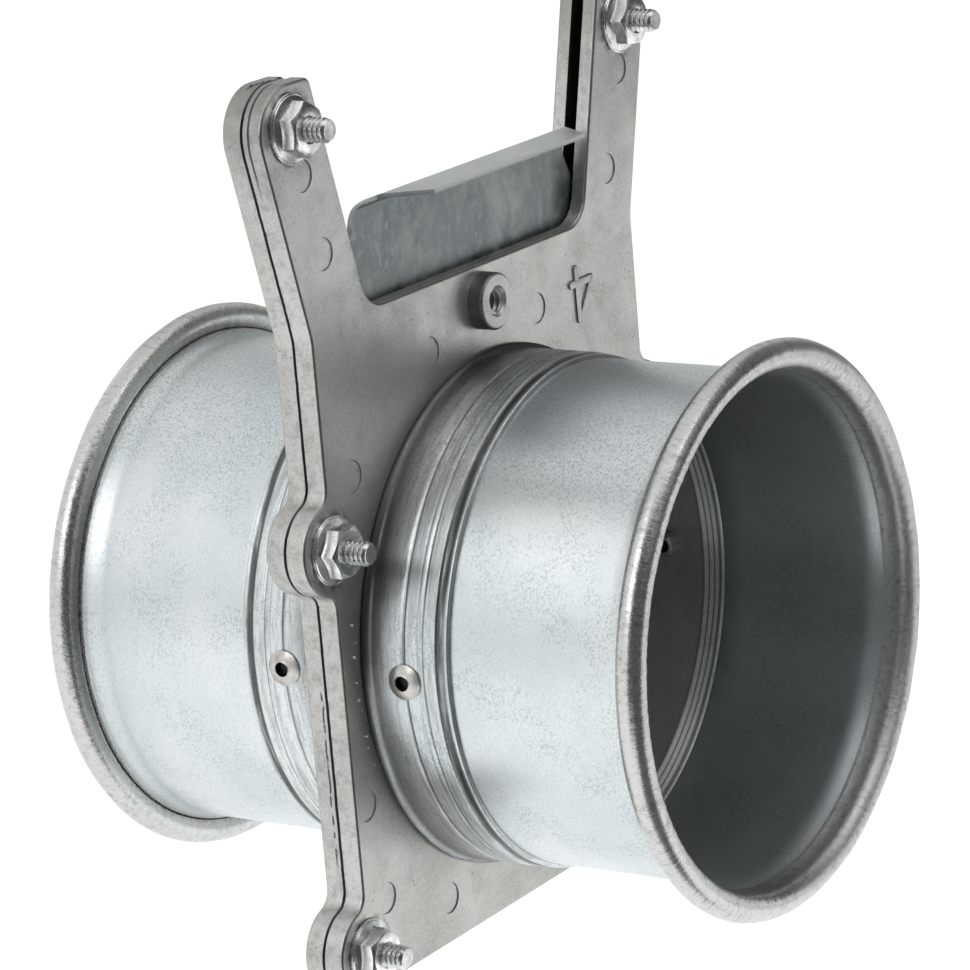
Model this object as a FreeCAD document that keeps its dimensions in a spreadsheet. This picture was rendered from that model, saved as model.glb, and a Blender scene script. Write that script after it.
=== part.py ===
import FreeCAD, Part
import math
import os
import Sketcher
from FreeCAD import Placement, Rotation, Vector

# Duct blast gate: two die-cast half plates bolted face to face, a sheet blade with a folded
# handle that slides up between them, and a riveted sheet collar with a rolled rim on each side.
# X runs to the right seen from the front, -Y is the front, +Z is the way the blade pulls out.
# The origin is on the duct's axis, in the plane where the two castings meet.

doc = FreeCAD.newDocument("BlastGate")
sheet = doc.addObject("Spreadsheet::Sheet", "Sizes")

SIZES = {
    # sheet-metal collars
    "duct_radius": 50.8,
    "sheet_thickness": 0.9,
    "rim_station": 66.5,
    "rim_bead_radius": 3.7,
    "rim_curl_end": 45.0,
    "neck_rise": 1.1,
    "lock_run": 3.1,
    "neck_slope": 0.8,
    "neck_flare_radius": 2.0,
    "neck_flare_angle": 60.0,
    "lock_groove_start": 21.5,
    "lock_groove_drop": 1.3,
    "lock_groove_width": 0.9,
    "lock_ridge_rise": 0.6,
    "line_groove_depth": 0.25,
    "line_groove_width": 0.8,
    "line_groove_spacing": 4.4,
    "stop_groove_depth": 0.35,
    "stop_groove_width": 1.1,
    # cast half plates
    "plate_thickness": 4.5,
    "plate_side_margin": 7.6,
    "plate_foot_margin": 11.9,
    "throat_margin": 19.5,
    "throat_corner": 7.0,
    "lobe_radius": 9.2,
    "lobe_blend": 3.5,
    "foot_blend": 1.5,
    "lobe_drop": 0.9,
    "arm_radius": 9.5,
    "arm_height": 38.7,
    "arm_spread": 0.6,
    "arm_foot_reach": 0.55,
    "arm_blend": 12.0,
    "arm_tip_drop": 0.9,
    "arm_tip_round": 2.0,
    "edge_round": 0.6,
    "parting_bevel": 0.3,
    "spigot_wall": 1.9,
    "spigot_reach": 1.2,
    "spigot_mouth": 3.4,
    "spigot_clearance": 0.1,
    "boss_offset": 12.1,
    "boss_radius": 5.8,
    "boss_rise": 3.6,
    "boss_round": 0.6,
    "boss_hole_radius": 2.6,
    "boss_mouth": 0.6,
    "ejector_mark_radius": 3.2,
    "ejector_mark_depth": 0.25,
    # blade and its handle
    "blade_thickness": 0.9,
    "blade_screw_gap": 1.6,
    "blade_overlap": 6.8,
    "blade_corner": 5.0,
    "slot_depth": 1.35,
    "slot_side_clearance": 0.4,
    "slot_floor_clearance": 0.3,
    "handle_rise": 19.9,
    "handle_shoulder": 6.2,
    "handle_left": 37.2,
    "handle_right": 40.0,
    "handle_side_lean": 26.6,
    "handle_corner": 6.2,
    "handle_reach": 10.2,
    "handle_end_inset": 9.0,
    "handle_end_start": 0.75,
    "handle_end_run": 7.0,
    "bend_radius": 1.5,
    # screws and nuts
    "screw_radius": 2.4,
    "screw_hole_clearance": 0.25,
    "screw_stickout": 9.0,
    "screw_point": 0.6,
    "head_radius": 4.6,
    "head_height": 3.2,
    "head_crown": 0.9,
    "recess_width": 1.2,
    "recess_span": 5.0,
    "recess_depth": 1.6,
    "nut_across_flats": 9.5,
    "nut_height": 4.4,
    "nut_flange_radius": 6.8,
    "nut_flange_edge": 0.6,
    "nut_flange_height": 1.4,
    "nut_crown": 0.5,
    "nut_thread_clearance": 0.05,
    "lower_screw_inset": 0.2,
    "middle_screw_level": 27.3,
    # blind rivets
    "rivet_station": 14.2,
    "rivet_radius": 2.0,
    "rivet_hole_clearance": 0.05,
    "rivet_head_radius": 3.6,
    "rivet_head_height": 1.3,
    "rivet_head_edge": 0.35,
    "rivet_seat": 0.05,
    "rivet_bore_radius": 1.25,
    "rivet_bore_depth": 3.0,
    "rivet_tail_radius": 2.6,
    "rivet_tail_length": 2.4,
}

# Places that follow from the driving sizes
DUCT_BORE = "(duct_radius - sheet_thickness)"
NECK = "(duct_radius + neck_rise)"
SPIGOT = f"({DUCT_BORE} - spigot_clearance)"
BORE = f"({SPIGOT} - spigot_wall)"
NECK_END = "(lock_groove_start + lock_run)"
SPIGOT_END = f"({NECK_END} + spigot_reach)"
WAIST = "(duct_radius + plate_side_margin)"
PLATE_BOTTOM = "(duct_radius + plate_foot_margin)"
THROAT = "(duct_radius + throat_margin)"
BOSS_LEVEL = "(duct_radius + boss_offset)"
TOP_SCREW = f"({WAIST} + arm_spread)"
TOP_LEVEL = f"({THROAT} + arm_height)"
TIP_LEVEL = f"({TOP_LEVEL} - arm_tip_drop)"
LOWER_SCREW = f"({WAIST} - lower_screw_inset)"
BOTTOM_LEVEL = f"(lobe_radius - lobe_drop - {PLATE_BOTTOM})"
BLADE_SIDE = f"({LOWER_SCREW} - screw_radius - blade_screw_gap)"
BLADE_BOTTOM = f"({BORE} + blade_overlap)"
HANDLE_TOP = f"({THROAT} + handle_rise)"
HANDLE_SHOULDER = f"({HANDLE_TOP} - handle_shoulder)"

for row, (alias, size) in enumerate(SIZES.items(), start=1):
    sheet.set(f"A{row}", alias)
    sheet.set(f"B{row}", str(size))
    sheet.setAlias(f"B{row}", alias)
doc.recompute()


def size(expression):
    """Value of an expression written with the sheet's names."""
    return float(sheet.evalExpression(expression))


def driven(expression):
    """The same expression as other objects have to write it."""
    words = []
    word = ""
    for sign in expression + " ":
        if sign.isalnum() or sign in "_.":
            word += sign
            continue
        words.append(f"Sizes.{word}" if word in SIZES else word)
        words.append(sign)
        word = ""
    return "".join(words).strip()


# Sketch helpers

def origin_plane(body, role):
    """Own origin plane of a body, found by its role."""
    for feature in body.Origin.OriginFeatures:
        if feature.Role == role:
            return feature
    raise ValueError(role)


def new_body(label):
    body = doc.addObject("PartDesign::Body", label)
    body.Label = label
    return body


def new_sketch(body, name, role):
    sketch = body.newObject("Sketcher::SketchObject", name)
    sketch.AttachmentSupport = [(origin_plane(body, role), "")]
    sketch.MapMode = "FlatFace"
    return sketch


def drive(sketch, constraint, expression):
    """Add a dimension that follows the sheet, or stays zero."""
    index = sketch.addConstraint(constraint)
    if expression != "0":
        sketch.setExpression(f"Constraints[{index}]", driven(expression))


def hold_point(sketch, element, end, place):
    """Hold one point at sheet-driven sketch coordinates."""
    across, up = place
    drive(sketch, Sketcher.Constraint("DistanceX", -1, 1, element, end, size(across)), across)
    drive(sketch, Sketcher.Constraint("DistanceY", -1, 1, element, end, size(up)), up)


def add_circle(sketch, place, radius):
    centre = Vector(size(place[0]), size(place[1]), 0)
    element = sketch.addGeometry(Part.Circle(centre, Vector(0, 0, 1), size(radius)))
    hold_point(sketch, element, 3, place)
    drive(sketch, Sketcher.Constraint("Radius", element, size(radius)), radius)


def add_arc(sketch, centre, radius, start, end):
    """Arc between two angles about a held centre; its radius follows from the ends it joins."""
    middle = Vector(size(centre[0]), size(centre[1]), 0)
    circle = Part.Circle(middle, Vector(0, 0, 1), radius)
    element = sketch.addGeometry(Part.ArcOfCircle(circle, start, end))
    hold_point(sketch, element, 3, centre)
    return element


def add_outline(sketch, corners):
    """Closed outline through sheet-driven corners.

    A corner with a centre and a turn (1 or -1, the sense seen on the sketch) ends an arc. Its height
    follows from the arc's start, so only its distance across is held.
    """
    places = [Vector(size(corner[0]), size(corner[1]), 0) for corner in corners]
    pieces = []
    for index, corner in enumerate(corners):
        start, finish = places[index - 1], places[index]
        if len(corner) == 2:
            pieces.append((sketch.addGeometry(Part.LineSegment(start, finish)), 1, 2))
            continue
        centre, turn = corner[2:]
        middle = Vector(size(centre[0]), size(centre[1]), 0)
        first, last = (start, finish) if turn > 0 else (finish, start)
        opening = math.atan2(first.y - middle.y, first.x - middle.x)
        closing = math.atan2(last.y - middle.y, last.x - middle.x)
        if closing <= opening:
            closing += 2 * math.pi
        arc = add_arc(sketch, centre, (start - middle).Length, opening, closing)
        pieces.append((arc, 1, 2) if turn > 0 else (arc, 2, 1))
    for index, (element, _, last) in enumerate(pieces):
        following, first, _ = pieces[(index + 1) % len(pieces)]
        sketch.addConstraint(Sketcher.Constraint("Coincident", element, last, following, first))
        across, up = corners[index][:2]
        drive(sketch, Sketcher.Constraint("DistanceX", -1, 1, element, last, size(across)), across)
        if len(corners[index]) == 2:
            drive(sketch, Sketcher.Constraint("DistanceY", -1, 1, element, last, size(up)), up)


# Feature helpers

def add_pad(body, sketch, name, length, backwards=False, centred=False):
    pad = body.newObject("PartDesign::Pad", name)
    pad.Profile = sketch
    pad.setExpression("Length", driven(length))
    pad.Reversed = backwards
    pad.Midplane = centred
    doc.recompute()
    return pad


def add_pocket(body, sketch, name, length=None, backwards=False):
    """Cut to a depth, or right through both ways where no depth is given."""
    before = body.Shape.Volume
    pocket = body.newObject("PartDesign::Pocket", name)
    pocket.Profile = sketch
    if length is None:
        pocket.Type = "ThroughAll"
        pocket.Midplane = True
    else:
        pocket.setExpression("Length", driven(length))
        pocket.Reversed = backwards
    doc.recompute()
    if not body.Shape.Volume < before:
        raise ValueError(f"{name} removed nothing")
    return pocket


def add_revolution(body, sketch, name, axis):
    turned = body.newObject("PartDesign::Revolution", name)
    turned.Profile = sketch
    turned.ReferenceAxis = (sketch, [axis])
    turned.Angle = 360.0
    doc.recompute()
    return turned


def edge_names(shape, wanted):
    return [f"Edge{index}" for index, edge in enumerate(shape.Edges, start=1) if wanted(edge)]


def add_fillet(body, name, base, edges, radius):
    rounded = body.newObject("PartDesign::Fillet", name)
    rounded.Base = (base, edges)
    rounded.setExpression("Radius", driven(radius))
    doc.recompute()
    return rounded


def add_chamfer(body, name, base, edges, width):
    bevel = body.newObject("PartDesign::Chamfer", name)
    bevel.Base = (base, edges)
    bevel.setExpression("Size", driven(width))
    doc.recompute()
    return bevel


def middle_of(edge):
    return edge.valueAt((edge.FirstParameter + edge.LastParameter) / 2)


def meets_at_corner(shape, edge):
    """True where the two faces beside an edge aren't one smooth surface."""
    normals = []
    spot = middle_of(edge)
    for face in shape.ancestorsOfType(edge, Part.Face):
        across, along = face.Surface.parameter(spot)
        normals.append(face.normalAt(across, along))
    return len(normals) == 2 and normals[0].getAngle(normals[1]) > math.radians(4)


# Places of the six screws, on the left and right of each level

SCREWS = [
    (place, side, across, level)
    for place, across, level in (
        ("top", TOP_SCREW, TOP_LEVEL),
        ("middle", LOWER_SCREW, "middle_screw_level"),
        ("bottom", LOWER_SCREW, BOTTOM_LEVEL),
    )
    for side in ("left", "right")
]


def screw_place(side, across, level):
    return (f"-{across}" if side == "left" else across, level)


# Cast half plates

# marks of the die's ejector pins on the front face: across and up from a point of the plate
EJECTOR_MARKS = (
    (f"-{TOP_SCREW}", 2.2, TOP_LEVEL, -9.3),
    (TOP_SCREW, -1.7, TOP_LEVEL, -9.8),
    (f"-{WAIST}", 6.0, THROAT, 13.5),
    (WAIST, -8.3, THROAT, 9.2),
    ("0", -19.9, BOSS_LEVEL, -6.0),
    ("0", 19.5, BOSS_LEVEL, -6.1),
    (f"-{WAIST}", 8.8, "middle_screw_level", 12.3),
    (f"-{LOWER_SCREW}", 3.6, BOTTOM_LEVEL, 29.0),
    (f"-{LOWER_SCREW}", 7.4, BOTTOM_LEVEL, 8.6),
    ("0", -29.3, f"-{PLATE_BOTTOM}", 9.3),
)


def arm_corners(mirror):
    """Slanted bar: its outer side starts at the plate's corner and just touches the round tip.

    Its inner side runs on past the round to a corner level with the tip's top.
    """
    foot = f"({WAIST} + arm_foot_reach)"
    across = f"({TOP_SCREW} - {foot})"
    rise = "(arm_height - arm_tip_drop)"
    lean = f"(atan({across} / {rise}) + asin(arm_radius / hypot({across}; {rise})))"
    lean_side = f"arm_radius * cos{lean}"
    lean_drop = f"arm_radius * sin{lean}"
    run = f"({rise} + throat_corner)"
    shift = f"{run} * tan{lean}"
    tip_shift = f"(arm_radius - {lean_drop}) * tan{lean}"
    return [
        (f"{mirror} * ({TOP_SCREW} + {lean_side})", f"{TIP_LEVEL} - {lean_drop}"),
        (f"{mirror} * ({TOP_SCREW} + {lean_side} - {shift})", f"{TIP_LEVEL} - {lean_drop} - {run}"),
        (f"{mirror} * ({TOP_SCREW} - {lean_side} - {shift})", f"{TIP_LEVEL} + {lean_drop} - {run}"),
        (f"{mirror} * ({TOP_SCREW} - {lean_side} + {tip_shift})", f"{TIP_LEVEL} + arm_radius"),
        (f"{mirror} * {TOP_SCREW}", f"{TIP_LEVEL} + arm_radius"),
    ]


def blend_outline(body, base):
    """Round the corners of the outline, each kind by its own radius."""
    screws = [(size(a) * s, size(level)) for _, _, a, level in SCREWS for s in (-1, 1)]
    lobe = size("lobe_radius")

    def upright(edge):
        ends = edge.Vertexes[0].Point - edge.Vertexes[-1].Point
        return abs(ends.x) < 1e-6 and abs(ends.z) < 1e-6 and abs(ends.y) > 1e-6

    def kind(edge):
        spot = middle_of(edge)
        if abs(spot.z + size(PLATE_BOTTOM)) < 1e-4:
            return "foot_blend"
        if abs(spot.z - size(THROAT)) < 1e-4:
            return "throat_corner"
        if abs(spot.z - size(f"{TIP_LEVEL} + arm_radius")) < 1e-4:
            return "arm_tip_round"
        if any(abs(math.hypot(spot.x - x, spot.z - z) - lobe) < 1e-4 for x, z in screws):
            return "lobe_blend"
        return "arm_blend"

    for name, radius in (("LobeBlend", "lobe_blend"), ("FootBlend", "foot_blend"),
                         ("ThroatCorner", "throat_corner"), ("ArmBlend", "arm_blend"),
                         ("ArmTip", "arm_tip_round")):
        shape = base.Shape
        corners = edge_names(
            shape, lambda edge: upright(edge) and meets_at_corner(shape, edge) and kind(edge) == radius)
        base = add_fillet(body, name, base, corners, radius)
    return base


def outline_edges(shape, level):
    """Edges round the outside of the flat face at one distance from the parting plane."""
    along = Vector(0, 1, 0)
    faces = [face for face in shape.Faces
             if abs(face.CenterOfMass.y - level) < 1e-6 and face.normalAt(0, 0).cross(along).Length < 1e-6]
    outside = max(faces, key=lambda face: face.Area).OuterWire
    return edge_names(shape, lambda edge: any(edge.isSame(other) for other in outside.Edges))


def spigot_profile(side):
    """Half section of the ring that the collar slides over, as distances along and from the axis."""
    shoulder = f"({SPIGOT} + neck_rise)"
    lock = "(lock_groove_start - spigot_clearance)"
    return [
        (f"{side} * plate_thickness / 2", BORE),
        (f"{side} * ({SPIGOT_END} - spigot_mouth)", BORE),
        (f"{side} * {SPIGOT_END}", f"{SPIGOT} - spigot_clearance"),
        (f"{side} * {SPIGOT_END}", SPIGOT),
        (f"{side} * {lock}", SPIGOT),
        (f"{side} * ({lock} - neck_slope)", shoulder),
        (f"{side} * plate_thickness / 2", shoulder),
    ]


def make_casting(label, side):
    """One half plate, with its screw lobes, arms, blade slot and spigot."""
    rear = side > 0
    body = new_body(label)

    plate = new_sketch(body, "PlateOutline", "XZ_Plane")
    add_outline(plate, [
        (f"-{WAIST}", f"-{PLATE_BOTTOM}"),
        (WAIST, f"-{PLATE_BOTTOM}"),
        (WAIST, THROAT),
        (f"-{WAIST}", THROAT),
    ])
    add_pad(body, plate, "Plate", "plate_thickness", rear)

    arms = new_sketch(body, "ArmOutlines", "XZ_Plane")
    for mirror in (-1, 1):
        add_outline(arms, arm_corners(mirror))
    add_pad(body, arms, "Arms", "plate_thickness", rear)

    lobes = new_sketch(body, "LobeOutlines", "XZ_Plane")
    for place, hand, across, level in SCREWS:
        if place == "top":
            add_circle(lobes, screw_place(hand, across, TIP_LEVEL), "arm_radius")
        else:
            add_circle(lobes, screw_place(hand, across, level), "lobe_radius")
    base = add_pad(body, lobes, "Lobes", "plate_thickness", rear)

    base = blend_outline(body, base)
    outer = outline_edges(base.Shape, side * size("plate_thickness"))
    base = add_fillet(body, "EdgeRound", base, outer, "edge_round")
    parting = outline_edges(base.Shape, 0.0)
    add_chamfer(body, "PartingBevel", base, parting, "parting_bevel")

    ring = new_sketch(body, "SpigotProfile", "YZ_Plane")
    add_outline(ring, spigot_profile(side))
    add_revolution(body, ring, "Spigot", "H_Axis")

    if not rear:
        boss = new_sketch(body, "BossOutline", "XZ_Plane")
        boss_foot = ("0", BOSS_LEVEL)
        add_circle(boss, boss_foot, "boss_radius")
        base = add_pad(body, boss, "Boss", "plate_thickness + boss_rise")
        face_level = -size("plate_thickness + boss_rise")
        crown = edge_names(base.Shape, lambda edge: abs(middle_of(edge).y - face_level) < 1e-6
                           and edge.Length < 7 * size("boss_radius"))
        add_fillet(body, "BossRound", base, crown, "boss_round")

    slot = new_sketch(body, "SlotOutline", "XZ_Plane")
    half = f"({BLADE_SIDE} + slot_side_clearance)"
    floor = f"-({BLADE_BOTTOM} + slot_floor_clearance)"
    above = f"({TOP_LEVEL} + 2 * arm_radius)"
    add_outline(slot, [(f"-{half}", floor), (half, floor), (half, above), (f"-{half}", above)])
    add_pocket(body, slot, "BladeSlot", "slot_depth", not rear)

    bore = new_sketch(body, "BoreOutline", "XZ_Plane")
    add_circle(bore, ("0", "0"), BORE)
    add_pocket(body, bore, "Bore")

    holes = new_sketch(body, "ScrewHoleOutlines", "XZ_Plane")
    for place, hand, across, level in SCREWS:
        add_circle(holes, screw_place(hand, across, level), "screw_radius + screw_hole_clearance")
    if not rear:
        add_circle(holes, boss_foot, "boss_hole_radius")
    base = add_pocket(body, holes, "ScrewHoles")
    if not rear:
        mouth = edge_names(base.Shape, lambda edge: abs(middle_of(edge).y - face_level) < 1e-6
                           and edge.Length < 7 * size("boss_hole_radius"))
        add_chamfer(body, "BossMouth", base, mouth, "boss_mouth")

    rivets = new_sketch(body, "RivetHoleOutline", "YZ_Plane")
    add_circle(rivets, (f"{side} * rivet_station", "0"), "rivet_radius + rivet_hole_clearance")
    add_pocket(body, rivets, "RivetHoles")

    if not rear:
        marks = new_sketch(body, "EjectorMarkOutlines", "XZ_Plane")
        marks.setExpression("AttachmentOffset.Base.z", driven("plate_thickness"))
        for across, beside, level, above in EJECTOR_MARKS:
            add_circle(marks, (f"{across} + {beside}", f"{level} + {above}"), "ejector_mark_radius")
        add_pocket(body, marks, "EjectorMarks", "ejector_mark_depth")
    return body


# Sheet collars

def collar_outline(side):
    """Half section of the collar from its flared foot along the outside to the rolled rim and back inside."""
    groove_half = "line_groove_width / 2"
    lock_floor = "(lock_groove_start + neck_slope)"
    lock_level = f"{NECK} - lock_groove_drop"
    outer_reach = "(neck_flare_radius + sheet_thickness)"
    flare_start = f"(plate_thickness + {outer_reach} * sin(neck_flare_angle))"
    flare_centre = (f"{side} * {flare_start}", f"{NECK} + neck_flare_radius")
    heel_level = f"{NECK} + neck_flare_radius - {outer_reach} * cos(neck_flare_angle)"
    toe = f"{flare_start} - neck_flare_radius * sin(neck_flare_angle)"
    toe_level = f"{NECK} + neck_flare_radius - neck_flare_radius * cos(neck_flare_angle)"
    roll_centre = (f"{side} * rim_station", f"{DUCT_BORE} + rim_bead_radius")
    roll_inside = "(rim_bead_radius - sheet_thickness)"
    roll_level = f"{DUCT_BORE} + rim_bead_radius"
    stop_groove = f"({SPIGOT_END} + stop_groove_width / 2)"

    outside = []
    for step in (0, 1):
        centre = f"(rivet_station + {step} * line_groove_spacing)"
        outside += [
            (f"{centre} - {groove_half}", NECK),
            (centre, f"{NECK} - line_groove_depth"),
            (f"{centre} + {groove_half}", NECK),
        ]
    outside += [
        ("lock_groove_start", NECK),
        (lock_floor, lock_level),
        (f"{lock_floor} + lock_groove_width", lock_level),
        (f"{NECK_END} - neck_slope", f"{lock_level} + lock_ridge_rise"),
        (NECK_END, "duct_radius"),
        ("rim_station", "duct_radius"),
    ]
    rim = [
        (f"rim_station - {roll_inside} * cos(rim_curl_end)",
         f"{roll_level} - {roll_inside} * sin(rim_curl_end)", roll_centre, side),
        ("rim_station - rim_bead_radius * cos(rim_curl_end)",
         f"{roll_level} - rim_bead_radius * sin(rim_curl_end)"),
        ("rim_station", DUCT_BORE, roll_centre, -side),
    ]
    inside = [
        (f"{SPIGOT_END} + stop_groove_width", DUCT_BORE),
        (stop_groove, f"{DUCT_BORE} + stop_groove_depth"),
        (SPIGOT_END, DUCT_BORE),
        (lock_floor, DUCT_BORE),
        ("lock_groove_start - sheet_thickness / 4", f"{NECK} - sheet_thickness"),
        (flare_start, f"{NECK} - sheet_thickness"),
    ]
    foot = [
        ("plate_thickness", heel_level, flare_centre, -side),
        (toe, toe_level),
        (flare_start, NECK, flare_centre, side),
    ]
    return [
        (f"{side} * ({corner[0]})",) + corner[1:]
        for corner in outside + rim + inside + foot
    ]


def make_collar(label, side):
    """Sheet collar: flared foot, grooved neck, plain duct and a rim rolled outward."""
    body = new_body(label)
    section = new_sketch(body, "CollarSection", "YZ_Plane")
    add_outline(section, collar_outline(side))
    add_revolution(body, section, "Collar", "H_Axis")
    rivets = new_sketch(body, "RivetHoleOutline", "YZ_Plane")
    add_circle(rivets, (f"{side} * rivet_station", "0"), "rivet_radius + rivet_hole_clearance")
    add_pocket(body, rivets, "RivetHoles")
    return body


# Blade

def make_blade(label):
    """Flat sheet whose top is folded forward into the handle."""
    body = new_body(label)
    section = new_sketch(body, "FoldedSection", "YZ_Plane")
    half = "blade_thickness / 2"
    underside = f"{HANDLE_TOP} - blade_thickness"
    add_outline(section, [
        (half, f"-{BLADE_BOTTOM}"),
        (half, HANDLE_TOP),
        ("-handle_reach", HANDLE_TOP),
        ("-handle_reach", underside),
        (f"-{half}", underside),
        (f"-{half}", f"-{BLADE_BOTTOM}"),
    ])
    base = add_pad(body, section, "Sheet", f"2 * {BLADE_SIDE}", centred=True)

    def fold_edge(y, z):
        return edge_names(base.Shape, lambda edge: abs(middle_of(edge).y - size(y)) < 1e-4
                          and abs(middle_of(edge).z - size(z)) < 1e-4)

    base = add_fillet(body, "FoldOutside", base, fold_edge(half, HANDLE_TOP), "bend_radius + blade_thickness")
    base = add_fillet(body, "FoldInside", base, fold_edge(f"-{half}", underside), "bend_radius")

    sides = new_sketch(body, "HandleSides", "XZ_Plane")
    above = f"({HANDLE_TOP} + blade_thickness)"
    wide = f"({BLADE_SIDE} + blade_thickness)"
    corner_level = f"({HANDLE_TOP} - handle_corner)"
    corner_end = "-(handle_left - handle_corner)"
    add_outline(sides, [
        (f"-{wide}", f"{corner_level} - ({wide} - handle_left) / tan(handle_side_lean)"),
        ("-handle_left", corner_level),
        (corner_end, HANDLE_TOP, (corner_end, corner_level), -1),
        (corner_end, above),
        (f"-{wide}", above),
    ])
    add_outline(sides, [
        (wide, f"{HANDLE_SHOULDER} - ({wide} - handle_right) / tan(handle_side_lean)"),
        ("handle_right", HANDLE_SHOULDER),
        ("handle_right", above),
        (wide, above),
    ])
    add_pocket(body, sides, "HandleSideCuts")

    ends = new_sketch(body, "HandleEnds", "XY_Plane")
    behind = f"-({half} + handle_end_start)"
    ahead = "-(handle_reach + blade_thickness)"
    left = "(handle_left - handle_end_inset)"
    add_outline(ends, [
        (f"-{BLADE_SIDE}", behind),
        (f"-{left}", behind),
        (f"-({left} - handle_end_run)", ahead),
        (f"-{BLADE_SIDE}", ahead),
    ])
    add_outline(ends, [
        ("handle_right + blade_thickness", behind),
        ("handle_right", behind),
        ("handle_right - handle_end_run", ahead),
        ("handle_right + blade_thickness", ahead),
    ])
    add_pocket(body, ends, "HandleEndCuts")

    base = body.Tip
    low = -size(BLADE_BOTTOM)
    side = size(BLADE_SIDE)
    corners = edge_names(base.Shape, lambda edge: abs(middle_of(edge).z - low) < 1e-4
                         and abs(abs(middle_of(edge).x) - side) < 1e-4
                         and edge.Length < 2 * size("blade_thickness"))
    add_fillet(body, "BladeCorners", base, corners, "blade_corner")
    return body


# Fasteners, each drawn along its own Z axis and then turned into place

def make_screw(label, place):
    """Pan head screw: tip at the bottom, underside of the head at the axis origin."""
    body = new_body(label)
    section = new_sketch(body, "ScrewSection", "XZ_Plane")
    tip = "-(2 * plate_thickness + screw_stickout)"
    add_outline(section, [
        ("0", tip),
        ("screw_radius - screw_point", tip),
        ("screw_radius", f"{tip} + screw_point"),
        ("screw_radius", "0"),
        ("head_radius", "0"),
        ("head_radius", "head_height - head_crown"),
        ("head_radius - head_crown", "head_height"),
        ("0", "head_height"),
    ])
    add_revolution(body, section, "Screw", "V_Axis")
    recess = new_sketch(body, "RecessOutline", "XY_Plane")
    recess.setExpression("AttachmentOffset.Base.z", driven("head_height"))
    span = "recess_span / 2"
    width = "recess_width / 2"
    add_outline(recess, [
        (f"-{span}", f"-{width}"), (f"-{width}", f"-{width}"), (f"-{width}", f"-{span}"),
        (width, f"-{span}"), (width, f"-{width}"), (span, f"-{width}"),
        (span, width), (width, width), (width, span),
        (f"-{width}", span), (f"-{width}", width), (f"-{span}", width),
    ])
    add_pocket(body, recess, "CrossRecess", "recess_depth")
    across, level = (size(value) for value in place)
    body.Placement = Placement(Vector(across, size("plate_thickness"), level), Rotation(Vector(1, 0, 0), -90))
    return body


def make_nut(label, place):
    """Hexagon nut with a round flange, its flat side at the axis origin."""
    body = new_body(label)
    section = new_sketch(body, "FlangeSection", "XZ_Plane")
    hexagon = "nut_across_flats / 2"
    add_outline(section, [
        ("0", "0"),
        ("nut_flange_radius", "0"),
        ("nut_flange_radius", "nut_flange_edge"),
        (hexagon, "nut_flange_height"),
        ("0", "nut_flange_height"),
    ])
    add_revolution(body, section, "Flange", "V_Axis")
    corners = new_sketch(body, "HexagonOutline", "XY_Plane")
    add_outline(corners, [
        (f"{hexagon} / cos(30) * cos({60 * step})", f"{hexagon} / cos(30) * sin({60 * step})")
        for step in range(6)
    ])
    add_pad(body, corners, "Hexagon", "nut_height")

    crown = new_sketch(body, "CrownSection", "XZ_Plane")
    reach = f"({hexagon} / cos(30) + nut_crown)"
    add_outline(crown, [
        (hexagon, "nut_height"),
        (reach, f"nut_height - ({reach} - {hexagon}) * tan(30)"),
        (reach, "nut_height + nut_crown"),
        (hexagon, "nut_height + nut_crown"),
    ])
    groove = body.newObject("PartDesign::Groove", "Crown")
    groove.Profile = crown
    groove.ReferenceAxis = (crown, ["V_Axis"])
    groove.Angle = 360.0
    doc.recompute()

    bore = new_sketch(body, "ThreadBore", "XY_Plane")
    add_circle(bore, ("0", "0"), "screw_radius + nut_thread_clearance")
    add_pocket(body, bore, "Bore")
    across, level = (size(value) for value in place)
    body.Placement = Placement(Vector(across, -size("plate_thickness"), level), Rotation(Vector(1, 0, 0), 90))
    return body


def make_rivet(label, hand, side):
    """Blind rivet: domed head outside the neck, set tail inside the bore."""
    body = new_body(label)
    section = new_sketch(body, "RivetSection", "XZ_Plane")
    tail_seat = f"(sqrt({BORE} ^ 2 - rivet_tail_radius ^ 2) - rivet_seat)"
    grip = f"({NECK} + rivet_seat - {tail_seat})"
    dome_rise = "(rivet_head_height - rivet_head_edge)"
    dome_radius = f"((rivet_head_radius ^ 2 + {dome_rise} ^ 2) / (2 * {dome_rise}))"
    dome_centre = ("0", f"rivet_head_height - {dome_radius}")
    add_outline(section, [
        ("0", f"-({grip} + rivet_tail_length)"),
        ("rivet_tail_radius - rivet_head_edge", f"-({grip} + rivet_tail_length)"),
        ("rivet_tail_radius", f"-({grip} + rivet_tail_length - rivet_head_edge)"),
        ("rivet_tail_radius", f"-{grip}"),
        ("rivet_radius", f"-{grip}"),
        ("rivet_radius", "0"),
        ("rivet_head_radius", "0"),
        ("rivet_head_radius", "rivet_head_edge"),
        ("rivet_bore_radius", "rivet_head_height", dome_centre, 1),
        ("rivet_bore_radius", "rivet_head_height - rivet_bore_depth"),
        ("0", "rivet_head_height - rivet_bore_depth"),
    ])
    add_revolution(body, section, "Rivet", "V_Axis")
    seat = size(f"{NECK} + rivet_seat")
    station = side * size("rivet_station")
    body.Placement = Placement(Vector(hand * seat, station, 0), Rotation(Vector(0, 1, 0), hand * 90))
    return body


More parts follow.
